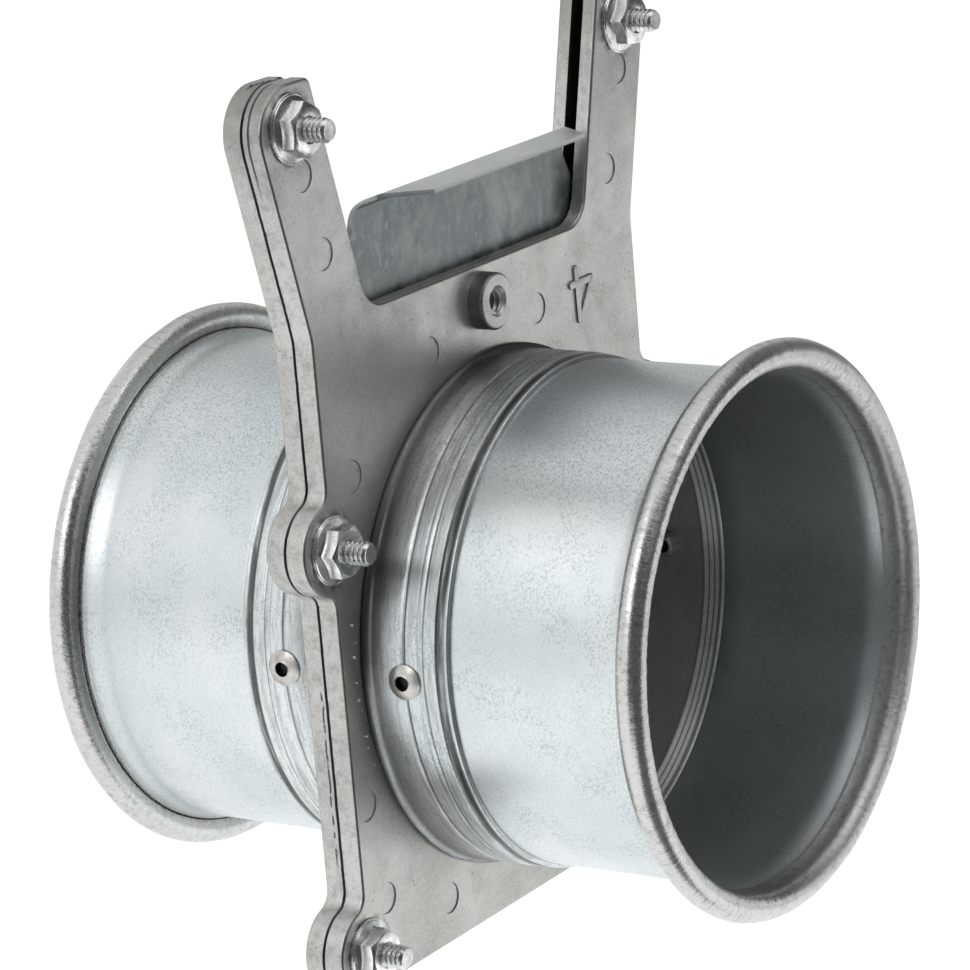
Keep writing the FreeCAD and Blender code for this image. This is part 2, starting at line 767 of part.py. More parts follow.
parts = [
    make_casting("front_casting", -1),
    make_casting("rear_casting", 1),
    make_collar("front_collar", -1),
    make_collar("rear_collar", 1),
    make_blade("gate_blade"),
]
for level_name, hand_name, across_name, level_size in SCREWS:
    spot = screw_place(hand_name, across_name, level_size)
    parts.append(make_screw(f"screw_{level_name}_{hand_name}", spot))
    parts.append(make_nut(f"nut_{level_name}_{hand_name}", spot))
for end_name, side in (("front", -1), ("rear", 1)):
    for hand_name, hand in (("left", -1), ("right", 1)):
        parts.append(make_rivet(f"rivet_{end_name}_{hand_name}", hand, side))

doc.recompute()
for item in doc.Objects:
    if "Invalid" in item.State or "Error" in item.State:
        raise RuntimeError(f"{item.Label} failed: {item.State}")
for part in parts:
    if part.Shape.isNull() or not part.Shape.isValid() or len(part.Shape.Solids) != 1:
        raise RuntimeError(f"{part.Label} has no single valid solid")

os.makedirs("parts", exist_ok=True)
for part in parts:
    part.Shape.exportStep(f"parts/{part.Label}.step")
    box = part.Shape.BoundBox
    lengths = " x ".join(f"{length:.1f}" for length in (box.XLength, box.YLength, box.ZLength))
    print(f"{part.Label}: {part.Shape.Volume:.0f} mm3, {lengths} mm")
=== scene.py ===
import math
import random

import bmesh
import bpy
from mathutils import Matrix, Vector, noise


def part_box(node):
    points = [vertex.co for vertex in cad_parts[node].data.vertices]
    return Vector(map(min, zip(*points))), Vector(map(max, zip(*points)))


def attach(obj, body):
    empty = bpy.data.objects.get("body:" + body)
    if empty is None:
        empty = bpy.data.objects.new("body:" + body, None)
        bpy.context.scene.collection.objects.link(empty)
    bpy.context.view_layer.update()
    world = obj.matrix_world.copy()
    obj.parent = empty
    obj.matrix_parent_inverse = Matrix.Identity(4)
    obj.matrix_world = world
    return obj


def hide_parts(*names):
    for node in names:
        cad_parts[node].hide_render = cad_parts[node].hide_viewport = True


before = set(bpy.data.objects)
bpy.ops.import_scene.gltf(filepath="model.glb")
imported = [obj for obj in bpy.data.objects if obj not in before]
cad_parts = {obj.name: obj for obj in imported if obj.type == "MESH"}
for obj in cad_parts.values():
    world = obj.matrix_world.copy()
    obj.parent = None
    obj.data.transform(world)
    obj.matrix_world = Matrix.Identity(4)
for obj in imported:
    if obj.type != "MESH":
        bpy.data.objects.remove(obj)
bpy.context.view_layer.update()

# Duct blast gate. Y runs along the duct, -Y is the front, Z is the way the blade pulls out.
# Sizes are millimetres and become metres when a mesh is made. A station is a distance from the
# parting plane along the duct.
MM = 0.001

DUCT_RADIUS = 50.8
SHEET = 0.9
NECK_RISE = 1.1
RIM_STATION = 66.7
RIM_BEAD = 2.95
RIM_LEVEL = 54.35
RIM_FLARE_START = 59.0
RIM_CURL_END = math.radians(45)
# wrinkles of the rim: how far they and the slower waves push, and the run over which they set in
RIM_WRINKLE = 0.2
RIM_WAVE = 0.12
RIM_WRINKLE_RUN = 3.0
FLARE_RADIUS = 2.0
FLARE_ANGLE = math.radians(60)
PLATE = 4.5
# lines pressed round the neck: station, depth and width
LINE_GROOVES = ((14.2, 0.2, 0.26), (17.3, 0.03, 0.24), (18.6, 0.09, 0.26), (19.3, 0.02, 0.24))
# the neck's deep groove: start, end and drop; the ridge after it: station and rise
LOCK_GROOVE = (21.4, 22.8, 0.42)
LOCK_RIDGE = (23.5, 0.15)
NECK_END = 24.6
SPIGOT_END = 25.8
# recess in the collar's bore just past the spigot's end
STOP_GROOVE_WIDTH = 1.1
STOP_GROOVE_DEPTH = 0.35
COLLAR_SEGMENTS = 560

SCREW_RADIUS = 2.4
THREAD_PITCH = 1.06
THREAD_DEPTH = 0.55
SCREW_POINT = 0.7
HEAD_RADIUS = 4.6
HEAD_HEIGHT = 3.2
RECESS_SPAN = 5.0
RECESS_WIDTH = 1.2
RECESS_DEPTH = 1.6
# turn of each nut and screw about its axis, in degrees
SCREW_TURNS = {
    "top_left": 32, "top_right": 54, "middle_left": 58, "middle_right": 47, "bottom_left": 24,
    "bottom_right": 2,
}

NUT_FLATS = 9.5
NUT_HEIGHT = 4.4
NUT_FLANGE_RADIUS = 6.8
NUT_FLANGE_EDGE = 0.6
NUT_FLANGE_HEIGHT = 1.4
NUT_FACE_RADIUS = 4.35
NUT_CHAMFER = math.radians(33)

RIVET_STATION = 14.2
RIVET_HEAD_RADIUS = 3.6
RIVET_HEAD_HEIGHT = 1.3
RIVET_HEAD_EDGE = 0.35
RIVET_RADIUS = 2.0
RIVET_BORE_RADIUS = 1.4
RIVET_BORE_DEPTH = 1.2
RIVET_TAIL_RADIUS = 2.6
RIVET_TAIL_LENGTH = 2.4

# what the casting carries, as places across and up on its front face
ARM_RADIUS = 9.5
BOSS_PLACE = (0.0, 62.9)
BOSS_RISE = 3.6
BOSS_HOLE_RADIUS = 2.6
BOSS_MOUTH = 0.6
BOSS_THREAD_PITCH = 1.27
BOSS_THREAD_DEPTH = 0.5
BOSS_THREAD_START = 1.6
EJECTOR_MARKS = (
    (-56.8, 99.7), (57.3, 99.2), (-52.4, 83.8), (50.1, 79.5), (-19.9, 56.9),
    (19.5, 56.8), (-49.6, 39.6), (-54.6, -25.4), (-50.8, -45.8), (-29.3, -53.4),
)
FIGURE_STROKES = (
    ((34.75, 61.5), (34.95, 50.9)), ((32.65, 58.5), (40.6, 58.5)), ((40.5, 58.2), (35.7, 50.9)),
)
FIGURE_WIDTH = 1.7
FIGURE_RISE = 0.4
# chips beside the front collar: degrees round the duct, distance from its axis and reach
JOINT_CHIPS = (
    (168.3, 55.4, 0.7), (175.0, 54.6, 0.8), (180.3, 54.5, 0.6), (184.1, 54.3, 0.7), (188.9, 54.9, 0.55),
    (192.4, 54.2, 0.85), (195.0, 54.4, 0.6), (172.0, 54.2, 0.35), (186.5, 54.0, 0.4), (199.5, 54.3, 0.45),
)

# Camera, from the fitted view of the photograph; its focal length is in pixels
CAMERA_AZIMUTH = math.radians(-55.94)
CAMERA_ELEVATION = math.radians(14.8)
CAMERA_ROLL = math.radians(-4.76)
CAMERA_DISTANCE = 884.74
CAMERA_FOCAL = 4351.09
PICTURE_WIDTH = 970
CAMERA_SENSOR = 36.0
CAMERA_AIM = (-0.79, 23.48)

# The stage, in metres
FLOOR_LEVEL = -0.25
FLOOR_REACH = 4.0
# standing curved cards: name, tone, radius, start and end in degrees, low and high level
CURVED_CARDS = (
    ("camera_flag", 0.05, 0.62, -170, -75, -0.24, 0.75),
    ("front_flag", 0.05, 0.62, -75, 0, 0.02, 0.75),
    ("low_flag", 0.78, 0.62, -75, 0, -0.24, -0.12),
    ("side_flag", 0.62, 0.7, 0, 60, 0.0, 0.9),
)
# lying flat cards: name, tone, level and corners
FLAT_CARDS = (
    ("top_flag", 0.84, 0.8, ((0.12, -0.6), (0.8, -0.6), (0.8, 0.8), (0.12, 0.8))),
    ("high_flag", 0.95, 0.8, ((-0.23, -0.6), (0.12, -0.6), (0.12, 0.8), (-0.23, 0.8))),
    ("low_front_flag", 0.1, -0.23, ((-0.6, -0.6), (0.05, -0.6), (0.05, -0.16), (-0.2, -0.12))),
)
# lamps, all aimed at the origin: name, place, side and watts
LAMPS = (("key", (0.1, -1.2, 1.2), 0.9, 9), ("fill", (-1.2, 0.2, 0.8), 0.8, 3))


# Materials

class Graph:
    """Short way to write a material's nodes."""

    def __init__(self, name):
        self.material = bpy.data.materials.new(name)
        self.material.use_nodes = True
        self.tree = self.material.node_tree
        self.tree.nodes.clear()
        self.output = self.tree.nodes.new("ShaderNodeOutputMaterial")
        self.shader = self.tree.nodes.new("ShaderNodeBsdfPrincipled")
        self.tree.links.new(self.shader.outputs["BSDF"], self.output.inputs["Surface"])
        self.place = self.tree.nodes.new("ShaderNodeTexCoord").outputs["Object"]
        self.x, self.y, self.z = self.split(self.place)

    def node(self, kind, **settings):
        made = self.tree.nodes.new(kind)
        for key, value in settings.items():
            setattr(made, key, value)
        return made

    def feed(self, socket, value):
        """Link a socket, or set it where the value is a plain number or colour."""
        if isinstance(value, bpy.types.NodeSocket):
            self.tree.links.new(value, socket)
        elif isinstance(value, (tuple, list)) and len(value) == 3 and socket.type == "RGBA":
            socket.default_value = (*value, 1.0)
        else:
            socket.default_value = value

    def maths(self, operation, first, second=0.0, third=None):
        made = self.node("ShaderNodeMath", operation=operation)
        self.feed(made.inputs[0], first)
        self.feed(made.inputs[1], second)
        if third is not None:
            self.feed(made.inputs[2], third)
        return made.outputs[0]

    def times(self, first, *others):
        """Product of all values given."""
        for other in others:
            first = self.maths("MULTIPLY", first, other)
        return first

    def most(self, first, *others):
        """Largest of all values given."""
        for other in others:
            first = self.maths("MAXIMUM", first, other)
        return first

    def size(self, value):
        """Value without its sign."""
        return self.maths("ABSOLUTE", value)

    def vector(self, operation, first, second=(0.0, 0.0, 0.0)):
        made = self.node("ShaderNodeVectorMath", operation=operation)
        self.feed(made.inputs[0], first)
        self.feed(made.inputs[1], second)
        return made.outputs["Value" if operation == "LENGTH" else "Vector"]

    def split(self, vector):
        made = self.node("ShaderNodeSeparateXYZ")
        self.feed(made.inputs[0], vector)
        return made.outputs

    def join(self, x, y, z):
        made = self.node("ShaderNodeCombineXYZ")
        for socket, value in zip(made.inputs, (x, y, z)):
            self.feed(socket, value)
        return made.outputs[0]

    def away_from(self, across, up):
        """Distance from the axis along Y through a place that is given in millimetres."""
        aside = self.maths("SUBTRACT", self.x, across * MM)
        above = self.maths("SUBTRACT", self.z, up * MM)
        return self.vector("LENGTH", self.join(aside, 0.0, above))

    def noise(self, vector, scale, detail=3.0, roughness=0.5, distortion=0.0):
        """Noise value about 0.5; scale is in features per metre."""
        made = self.node("ShaderNodeTexNoise")
        self.feed(made.inputs["Vector"], vector)
        made.inputs["Scale"].default_value = scale
        made.inputs["Detail"].default_value = detail
        made.inputs["Roughness"].default_value = roughness
        made.inputs["Distortion"].default_value = distortion
        return made.outputs["Fac"]

    def cells(self, vector, scale):
        """Distance from the middle of the nearest cell."""
        made = self.node("ShaderNodeTexVoronoi")
        self.feed(made.inputs["Vector"], vector)
        made.inputs["Scale"].default_value = scale
        return made.outputs["Distance"]

    def span(self, value, low, high, to_low=0.0, to_high=1.0):
        """Map low..high to to_low..to_high, held at both ends."""
        made = self.node("ShaderNodeMapRange", interpolation_type="SMOOTHSTEP")
        self.feed(made.inputs["Value"], value)
        made.inputs["From Min"].default_value = low
        made.inputs["From Max"].default_value = high
        made.inputs["To Min"].default_value = to_low
        made.inputs["To Max"].default_value = to_high
        return made.outputs["Result"]

    def span_mm(self, value, low, high, to_low=0.0, to_high=1.0):
        """The same for a distance, with low and high in millimetres."""
        return self.span(value, low * MM, high * MM, to_low, to_high)

    def blend(self, share, first, second):
        made = self.node("ShaderNodeMix", data_type="RGBA")
        self.feed(made.inputs["Factor"], share)
        self.feed(made.inputs[6], first)
        self.feed(made.inputs[7], second)
        return made.outputs[2]

    def bump(self, height, depth, strength=1.0):
        """Surface relief; depth is in millimetres."""
        made = self.node("ShaderNodeBump")
        made.inputs["Strength"].default_value = strength
        made.inputs["Distance"].default_value = depth * MM
        self.feed(made.inputs["Height"], height)
        return made.outputs["Normal"]

    def finish(self, color, roughness, metallic, normal=None):
        self.feed(self.shader.inputs["Base Color"], color)
        self.feed(self.shader.inputs["Roughness"], roughness)
        self.feed(self.shader.inputs["Metallic"], metallic)
        if normal is not None:
            self.feed(self.shader.inputs["Normal"], normal)
        return self.material


def around_duct(graph, angular, along):
    """Coordinates that stretch a texture round the duct's axis or along it."""
    x, y, z = graph.x, graph.y, graph.z
    return graph.join(graph.times(x, angular), graph.times(y, along), graph.times(z, angular))


def spokes(graph, drift):
    """Coordinates that change with the angle round the duct's axis, and slowly across the sheet."""
    flat = graph.join(graph.x, 0.0, graph.z)
    across = graph.maths("ADD", graph.size(graph.y), graph.vector("LENGTH", flat))
    side, _, up = graph.split(graph.vector("NORMALIZE", flat))
    return graph.join(side, graph.times(across, drift), up)


CAST_DARK = (0.43, 0.423, 0.406)
CAST_LIGHT = (0.525, 0.518, 0.498)
CAST_STAIN = (0.33, 0.322, 0.30)
CAST_BRIGHT_GRAIN = (0.70, 0.695, 0.67)
CAST_DARK_GRAIN = (0.27, 0.262, 0.245)
CAST_PIT = (0.09, 0.085, 0.08)
CAST_SMEAR = (0.20, 0.195, 0.18)
# painted shade for the sides of the arm tips
CAST_TIP_SHADE = (0.17, 0.168, 0.158)
CAST_LINE = (0.06, 0.058, 0.055)
# grime of the seam and nuts, with painted shade on the slot, figure and boss and a painted dark reflection on
# the corners
CAST_DIRT_AND_SHADE = (0.04, 0.038, 0.035)
# dark lines round the spigots: station and width
SPIGOT_LINES = ((22.5, 0.3), (23.6, 0.2), (24.6, 0.2), (25.75, 0.5))


def cast_skin(graph, patch, sand, pit):
    """Tone of the casting: clouds, stains, grains and pits, a smeared, darker edge, and painted shade on the
    sides of the arm tips.
    """
    edge_side = graph.span_mm(graph.size(graph.y), 4.4, 3.9)
    cloud = graph.noise(graph.place, 34, 4)
    tone = graph.blend(graph.span(cloud, 0.34, 0.66), CAST_DARK, CAST_LIGHT)
    tone = graph.blend(graph.span(patch, 0.5, 0.76, 0.0, 0.4), tone, CAST_STAIN)
    tone = graph.blend(graph.span(sand, 0.4, 0.66, 0.0, 0.3), tone, CAST_BRIGHT_GRAIN)
    tone = graph.blend(graph.span(sand, 0.44, 0.3, 0.0, 0.3), tone, CAST_DARK_GRAIN)
    tone = graph.blend(graph.times(pit, 0.8), tone, CAST_PIT)
    smear = graph.times(graph.span(graph.noise(graph.place, 520, 5, 0.72), 0.44, 0.72), edge_side)
    tone = graph.blend(graph.times(smear, 0.5), tone, CAST_SMEAR)
    # painted shade on the sides of the arm tips
    high = graph.maths("MULTIPLY_ADD", patch, 0.02, graph.z)
    tip = graph.times(graph.span_mm(high, 104, 122), edge_side)
    return graph.blend(graph.times(tip, 0.55), tone, CAST_TIP_SHADE)


def line_spigots(graph, tone):
    """Add the dark lines round the spigots."""
    spigot = graph.span_mm(graph.away_from(0.0, 0.0), 47.7, 47.9)
    for station, width in SPIGOT_LINES:
        beside = graph.size(graph.maths("SUBTRACT", graph.size(graph.y), station * MM))
        line = graph.times(graph.span_mm(beside, width, 0.5 * width), spigot)
        tone = graph.blend(graph.times(line, 0.75), tone, CAST_LINE)
    return tone


def joint_dirt_and_slot_shade(graph):
    """Dark seam between the plates, painted shade in the slot's ends, and a flash line and a scar beside the
    seam.
    """
    x, y, z = graph.x, graph.y, graph.z
    ragged = graph.times(graph.maths("SUBTRACT", graph.noise(graph.place, 260, 3), 0.5), 0.6 * MM)
    level = graph.maths("ADD", y, ragged)
    seam = graph.span_mm(graph.size(level), 0.4, 0.2)
    # painted shade inside the slot's ends
    slot = graph.times(graph.span_mm(graph.size(y), 1.42, 1.37), graph.span_mm(graph.size(x), 54.66, 54.6))
    in_front = graph.size(graph.maths("ADD", level, 1.55 * MM))
    left_arm = graph.times(graph.span_mm(z, 94, 104), graph.span_mm(x, -58, -60))
    flash = graph.times(graph.span_mm(in_front, 0.34, 0.14), left_arm)
    behind = graph.size(graph.maths("SUBTRACT", level, 1.1 * MM))
    waist = graph.times(graph.span_mm(z, 4, -2), graph.span_mm(z, -40, -34))
    broken = graph.span(graph.noise(graph.place, 330, 3), 0.42, 0.52)
    scar = graph.times(graph.span_mm(behind, 0.28, 0.1), waist, broken)
    return graph.most(seam, flash, scar, slot)


def corner_dark_reflection(graph):
    """Painted dark reflection on the rounded corners of the faces, which keeps off the floors of the ejector
    marks.
    """
    station = graph.size(graph.y)
    corner = graph.times(graph.span_mm(station, 4.15, 4.35), graph.span_mm(station, 4.49, 4.4))
    for across, up in EJECTOR_MARKS:
        corner = graph.times(corner, graph.span_mm(graph.away_from(across, up), 3.1, 3.15))
    return corner


def boss_shade(graph):
    """Painted shade on the left of the boss, from its foot up its wall."""
    away = graph.away_from(*BOSS_PLACE)
    wall = graph.times(graph.span_mm(away, 5.3, 5.6), graph.span_mm(away, 7.6, 6.6))
    left = graph.span_mm(graph.maths("SUBTRACT", graph.x, BOSS_PLACE[0] * MM), 3, -1)
    return graph.times(wall, graph.span_mm(graph.y, -4.45, -4.7), left)


def nut_dirt(graph, nut_places):
    """Ragged grime on the front face round each nut."""
    grime = graph.span(graph.noise(graph.place, 420, 3, 0.6), 0.42, 0.6)
    front = graph.span_mm(graph.y, -4.2, -4.5)
    rings = [graph.span_mm(graph.away_from(across, up), 8.6, 6.9) for across, up in nut_places]
    return graph.times(graph.most(*rings), grime, front)


def make_cast_aluminium(nut_places):
    """Die-cast plates: sandy, a little stained, with grime in the seam and round the nuts, painted shade on
    the figure's walls, the boss's left and the slot's ends, and a painted dark reflection on the rounded
    corners.
    """
    graph = Graph("cast_aluminium")
    place = graph.place
    patch = graph.noise(place, 150, 5, 0.62)
    sand = graph.noise(place, 2300, 3, 0.65)
    ripple = graph.noise(place, 620, 4, 0.6)
    pit_field = graph.span(graph.noise(place, 210, 3), 0.55, 0.66)
    pit = graph.times(graph.span(graph.cells(place, 800), 0.2, 0.06), pit_field)
    tone = line_spigots(graph, cast_skin(graph, patch, sand, pit))
    # painted shade on the walls of the raised figure
    figure_wall_shade = graph.times(graph.span_mm(graph.y, -4.54, -4.58), graph.span_mm(graph.y, -4.86, -4.8))
    # grime in the seam and round the nuts, painted shade on the slot, figure and boss, and a painted dark
    # reflection on the corners
    dirt_and_shade = graph.most(
        joint_dirt_and_slot_shade(graph), graph.times(figure_wall_shade, 0.85), graph.times(boss_shade(graph), 0.8),
        graph.times(corner_dark_reflection(graph), 0.6), graph.times(nut_dirt(graph, nut_places), 0.6))
    tone = graph.blend(graph.times(dirt_and_shade, 0.92), tone, CAST_DIRT_AND_SHADE)
    relief = graph.maths("MULTIPLY_ADD", ripple, 1.2, sand)
    relief = graph.maths("MULTIPLY_ADD", pit, -2.0, relief)
    relief = graph.maths("MULTIPLY_ADD", dirt_and_shade, -2.0, relief)
    roughness = graph.span(patch, 0.3, 0.7, 0.31, 0.41)
    return graph.finish(tone, roughness, 0.87, graph.bump(relief, 0.04, strength=0.8))


COLLAR_DARK = (0.60, 0.65, 0.665)
COLLAR_LIGHT = (0.70, 0.735, 0.74)
COLLAR_FLECK = (0.24, 0.285, 0.305)
COLLAR_GLINT = (0.80, 0.83, 0.83)
# painted shade for the collar's inner wall
COLLAR_INSIDE_SHADE = (0.30, 0.33, 0.34)
NECK_STREAK = (0.27, 0.27, 0.262)
NECK_SWEEP = (0.30, 0.305, 0.295)
# painted shade in the neck's lines
NECK_LINE_SHADE = (0.05, 0.05, 0.048)
# painted dark reflection of the plate round the neck's foot
NECK_FOOT_REFLECTION = (0.06, 0.062, 0.06)
RIM_TONE = (0.56, 0.555, 0.535)
RIM_FOLD = (0.18, 0.175, 0.165)
RIM_BRIGHT = (0.74, 0.735, 0.71)
# painted shade lines round the neck, in its grooves and at its foot: station, width and share
NECK_SHADE_LINES = (
    (4.9, 0.7, 0.7), (14.2, 0.36, 0.6), (17.3, 0.2, 0.3), (18.6, 0.24, 0.6), (22.4, 1.2, 0.9),
    (24.4, 0.22, 0.4),
)


def coating_tone(graph, flecks, field):
    """Tone of the zinc coating: slow clouds, dark flecks, thickest on top, and fine glints."""
    drift = graph.noise(graph.place, 24, 3, 0.6)
    fine = graph.noise(around_duct(graph, 1.0, 1.4), 4200, 2, 0.6)
    tone = graph.blend(graph.span(drift, 0.36, 0.64), COLLAR_DARK, COLLAR_LIGHT)
    high = graph.maths("MULTIPLY_ADD", field, 0.03, graph.z)
    grained = graph.most(graph.span(field, 0.42, 0.62, 0.2, 0.9), graph.span_mm(high, 44, 52, 0.3, 1.0))
    fleck = graph.times(graph.span(flecks, 0.47, 0.6), grained)
    tone = graph.blend(graph.times(fleck, 0.62), tone, COLLAR_FLECK)
    return graph.blend(graph.span(fine, 0.44, 0.66, 0.0, 0.35), tone, COLLAR_GLINT)


def neck_tone(graph, tone, neck, rings, wide_rings):
    """Add what marks the neck: drawn streaks, painted shade in its lines and a painted dark reflection of the
    plate round its foot, stronger in the upper half.
    """
    station = graph.size(graph.y)
    tone = graph.blend(graph.times(graph.span(rings, 0.46, 0.66), neck, 0.45), tone, NECK_STREAK)
    tone = graph.blend(graph.times(graph.span(wide_rings, 0.46, 0.62), neck, 0.4), tone, NECK_SWEEP)
    uneven = graph.span(wide_rings, 0.3, 0.5, 0.5, 1.0)
    # painted shade in the neck's lines and at its foot line
    for at, width, share in NECK_SHADE_LINES:
        beside = graph.size(graph.maths("SUBTRACT", station, at * MM))
        line = graph.times(graph.span_mm(beside, width, 0.4 * width, 0.0, share), uneven)
        tone = graph.blend(line, tone, NECK_LINE_SHADE)
    # painted dark reflection of the plate round the neck's foot, stronger in the upper half
    edge = graph.maths("MULTIPLY_ADD", wide_rings, 0.006, station)
    foot_reflection = graph.times(graph.span_mm(edge, 16.5, 9.5), graph.span_mm(graph.z, -6, 6, 0.5, 0.85))
    return graph.blend(foot_reflection, tone, NECK_FOOT_REFLECTION)


def rim_tone(graph, tone, rim, field, crimps):
    """Add the worn rim, with dark folds and bright ticks across its roll."""
    ticks = graph.noise(spokes(graph, 6), 120, 2, 0.5)
    tone = graph.blend(graph.times(rim, 0.8), tone, RIM_TONE)
    worn = graph.times(rim, graph.span(field, 0.4, 0.6, 0.3, 1.0))
    tone = graph.blend(graph.times(graph.span(crimps, 0.5, 0.62), worn, 0.45), tone, RIM_FOLD)
    return graph.blend(graph.times(graph.span(ticks, 0.5, 0.64), worn, 0.4), tone, RIM_BRIGHT)


def make_galvanised_collar():
    """Zinc-coated sheet: grey flecks and drawn lines on the neck, with painted shade in its lines and a
    painted dark reflection at its foot, painted shade on the inner wall, and a worn, wrinkled rim.
    """
    graph = Graph("galvanised_collar")
    station = graph.size(graph.y)
    rings = graph.noise(around_duct(graph, 0.13, 1.0), 1500, 4, 0.65)
    wide_rings = graph.noise(around_duct(graph, 0.1, 1.0), 520, 4, 0.6)
    flecks = graph.noise(around_duct(graph, 0.9, 1.1), 2000, 4, 0.75)
    field = graph.noise(graph.place, 75, 4, 0.65)
    crimps = graph.noise(spokes(graph, 12), 44, 4, 0.65)
    neck = graph.span_mm(station, 24.7, 24.3)
    rim = graph.span_mm(station, 63.4, 64.2)
    away = graph.away_from(0.0, 0.0)
    # painted shade on the collar's inner wall, short of the rim
    inside = graph.times(graph.span_mm(away, 50.45, 50.2), graph.span_mm(station, 66, 61))
    tone = neck_tone(graph, coating_tone(graph, flecks, field), neck, rings, wide_rings)
    tone = graph.blend(graph.times(inside, 0.15), tone, COLLAR_INSIDE_SHADE)
    tone = rim_tone(graph, tone, rim, field, crimps)
    relief = graph.maths("MULTIPLY_ADD", rings, graph.times(neck, 0.5), flecks)
    relief = graph.maths("MULTIPLY_ADD", crimps, graph.times(rim, 7.0), relief)
    lean = graph.times(rim, graph.span_mm(graph.x, -12, 12, -0.07, 0.08))
    roughness = graph.maths("ADD", graph.span(flecks, 0.42, 0.66, 0.31, 0.42), lean)
    return graph.finish(tone, roughness, 0.94, graph.bump(relief, 0.022, strength=0.8))


def make_galvanised_blade():
    """The same coating with larger, darker blotches that hang downward; painted light on the handle's top."""
    graph = Graph("galvanised_blade")
    handle_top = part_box("gate_blade")[1].z / MM
    stretch = graph.vector("MULTIPLY", graph.place, (1.0, 1.0, 0.62))
    blotch = graph.noise(stretch, 105, 5, 0.66, 0.5)
    cloud = graph.noise(graph.place, 46, 3)
    crystal = graph.noise(stretch, 800, 4, 0.65)
    tone = graph.blend(graph.span(blotch, 0.36, 0.64), (0.18, 0.205, 0.21), (0.44, 0.465, 0.46))
    tone = graph.blend(graph.span(cloud, 0.42, 0.64, 0.0, 0.55), tone, (0.20, 0.228, 0.236))
    tone = graph.blend(graph.span(crystal, 0.5, 0.7, 0.0, 0.45), tone, (0.48, 0.50, 0.495))
    # painted light on the top of the handle
    top = graph.span_mm(graph.z, handle_top - 1.2, handle_top - 0.2)
    tone = graph.blend(graph.times(top, 0.75), tone, (0.60, 0.625, 0.62))
    roughness = graph.span(blotch, 0.38, 0.62, 0.38, 0.52)
    return graph.finish(tone, roughness, 0.88, graph.bump(crystal, 0.02, strength=0.6))


def make_zinc(name, tint, low, high):
    """Bright plated steel of the screws and nuts."""
    graph = Graph(name)
    haze = graph.noise(graph.place, 420, 4, 0.6)
    grit = graph.noise(graph.place, 2600, 2)
    tone = graph.blend(graph.span(haze, 0.36, 0.66), tint, tuple(0.72 * part for part in tint))
    tone = graph.blend(graph.span(grit, 0.62, 0.76, 0.0, 0.5), tone, (0.22, 0.22, 0.21))
    roughness = graph.span(haze, 0.3, 0.7, low, high)
    return graph.finish(tone, roughness, 1.0, graph.bump(grit, 0.012, strength=0.5))


def make_rivet_metal():
    """Dull aluminium of the rivets, with painted shade in the hole that the mandrel left."""
    graph = Graph("rivet_metal")
    haze = graph.noise(graph.place, 520, 4, 0.6)
    tone = graph.blend(graph.span(haze, 0.35, 0.68), (0.58, 0.565, 0.54), (0.42, 0.405, 0.385))
    beside = graph.maths("SUBTRACT", graph.size(graph.y), RIVET_STATION * MM)
    away = graph.vector("LENGTH", graph.join(beside, 0.0, graph.z))
    # painted shade in the mandrel's hole, over its wall and floor
    hole = graph.span_mm(away, RIVET_BORE_RADIUS + 0.14, RIVET_BORE_RADIUS + 0.04)
    tone = graph.blend(hole, tone, (0.02, 0.019, 0.018))
    roughness = graph.span(haze, 0.3, 0.7, 0.26, 0.38)
    return graph.finish(tone, roughness, 0.9, graph.bump(haze, 0.02, strength=0.5))


def make_torn_metal(name, dark, light, metallic):
    """Metal that tore or chipped off: dull where oxide covers it, bright where it is fresh."""
    graph = Graph(name)
    grain = graph.noise(graph.place, 1500, 3, 0.6)
    tone = graph.blend(graph.span(grain, 0.35, 0.65), dark, light)
    return graph.finish(tone, 0.5, metallic, graph.bump(grain, 0.05))


def nut_places():
    """Axes of the six nuts, across and up in millimetres."""
    boxes = [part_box(f"nut_{spot}") for spot in SCREW_TURNS]
    return [((low.x + high.x) / 2 / MM, (low.z + high.z) / 2 / MM) for low, high in boxes]


MATERIALS = {
    "cast_aluminium": make_cast_aluminium(nut_places()),
    "galvanised_collar": make_galvanised_collar(),
    "galvanised_blade": make_galvanised_blade(),
    "zinc_screw": make_zinc("zinc_screw", (0.72, 0.735, 0.725), 0.24, 0.36),
    "zinc_nut": make_zinc("zinc_nut", (0.88, 0.885, 0.87), 0.2, 0.32),
    "rivet_metal": make_rivet_metal(),
}
FLASH_METAL = make_torn_metal("flash_metal", (0.05, 0.048, 0.045), (0.16, 0.155, 0.145), 0.4)
CHIP_METAL = make_torn_metal("chip_metal", (0.40, 0.40, 0.385), (0.66, 0.66, 0.64), 0.5)


# Mesh helpers

def add_piece(name, mesh, slot, body="frame", nodes=(), sharp=35.0):
    """Link a mesh as a piece of the object, with its material, body and the nodes it stands for."""
    mesh.materials.append(MATERIALS[slot])
    mesh.polygons.foreach_set("use_smooth", [True] * len(mesh.polygons))
    mesh.set_sharp_from_angle(angle=math.radians(sharp))
    piece = bpy.data.objects.new(name, mesh)
    bpy.context.scene.collection.objects.link(piece)
    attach(piece, body)
    if nodes:
        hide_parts(*nodes)
    return piece


def mesh_from(name, points, faces):
    mesh = bpy.data.meshes.new(name)
    mesh.from_pydata([Vector(point) * MM for point in points], [], faces)
    mesh.validate()
    work = bmesh.new()
    work.from_mesh(mesh)
    bmesh.ops.remove_doubles(work, verts=work.verts, dist=1e-7)
    bmesh.ops.recalc_face_normals(work, faces=work.faces)
    work.to_mesh(mesh)
    work.free()
    return mesh


def arc(centre, radius, start, end, steps):
    """Points on an arc of a section, as distances along and from the axis."""
    angles = [start + (end - start) * step / steps for step in range(steps + 1)]
    return [(centre[0] + radius * math.cos(a), centre[1] + radius * math.sin(a)) for a in angles]


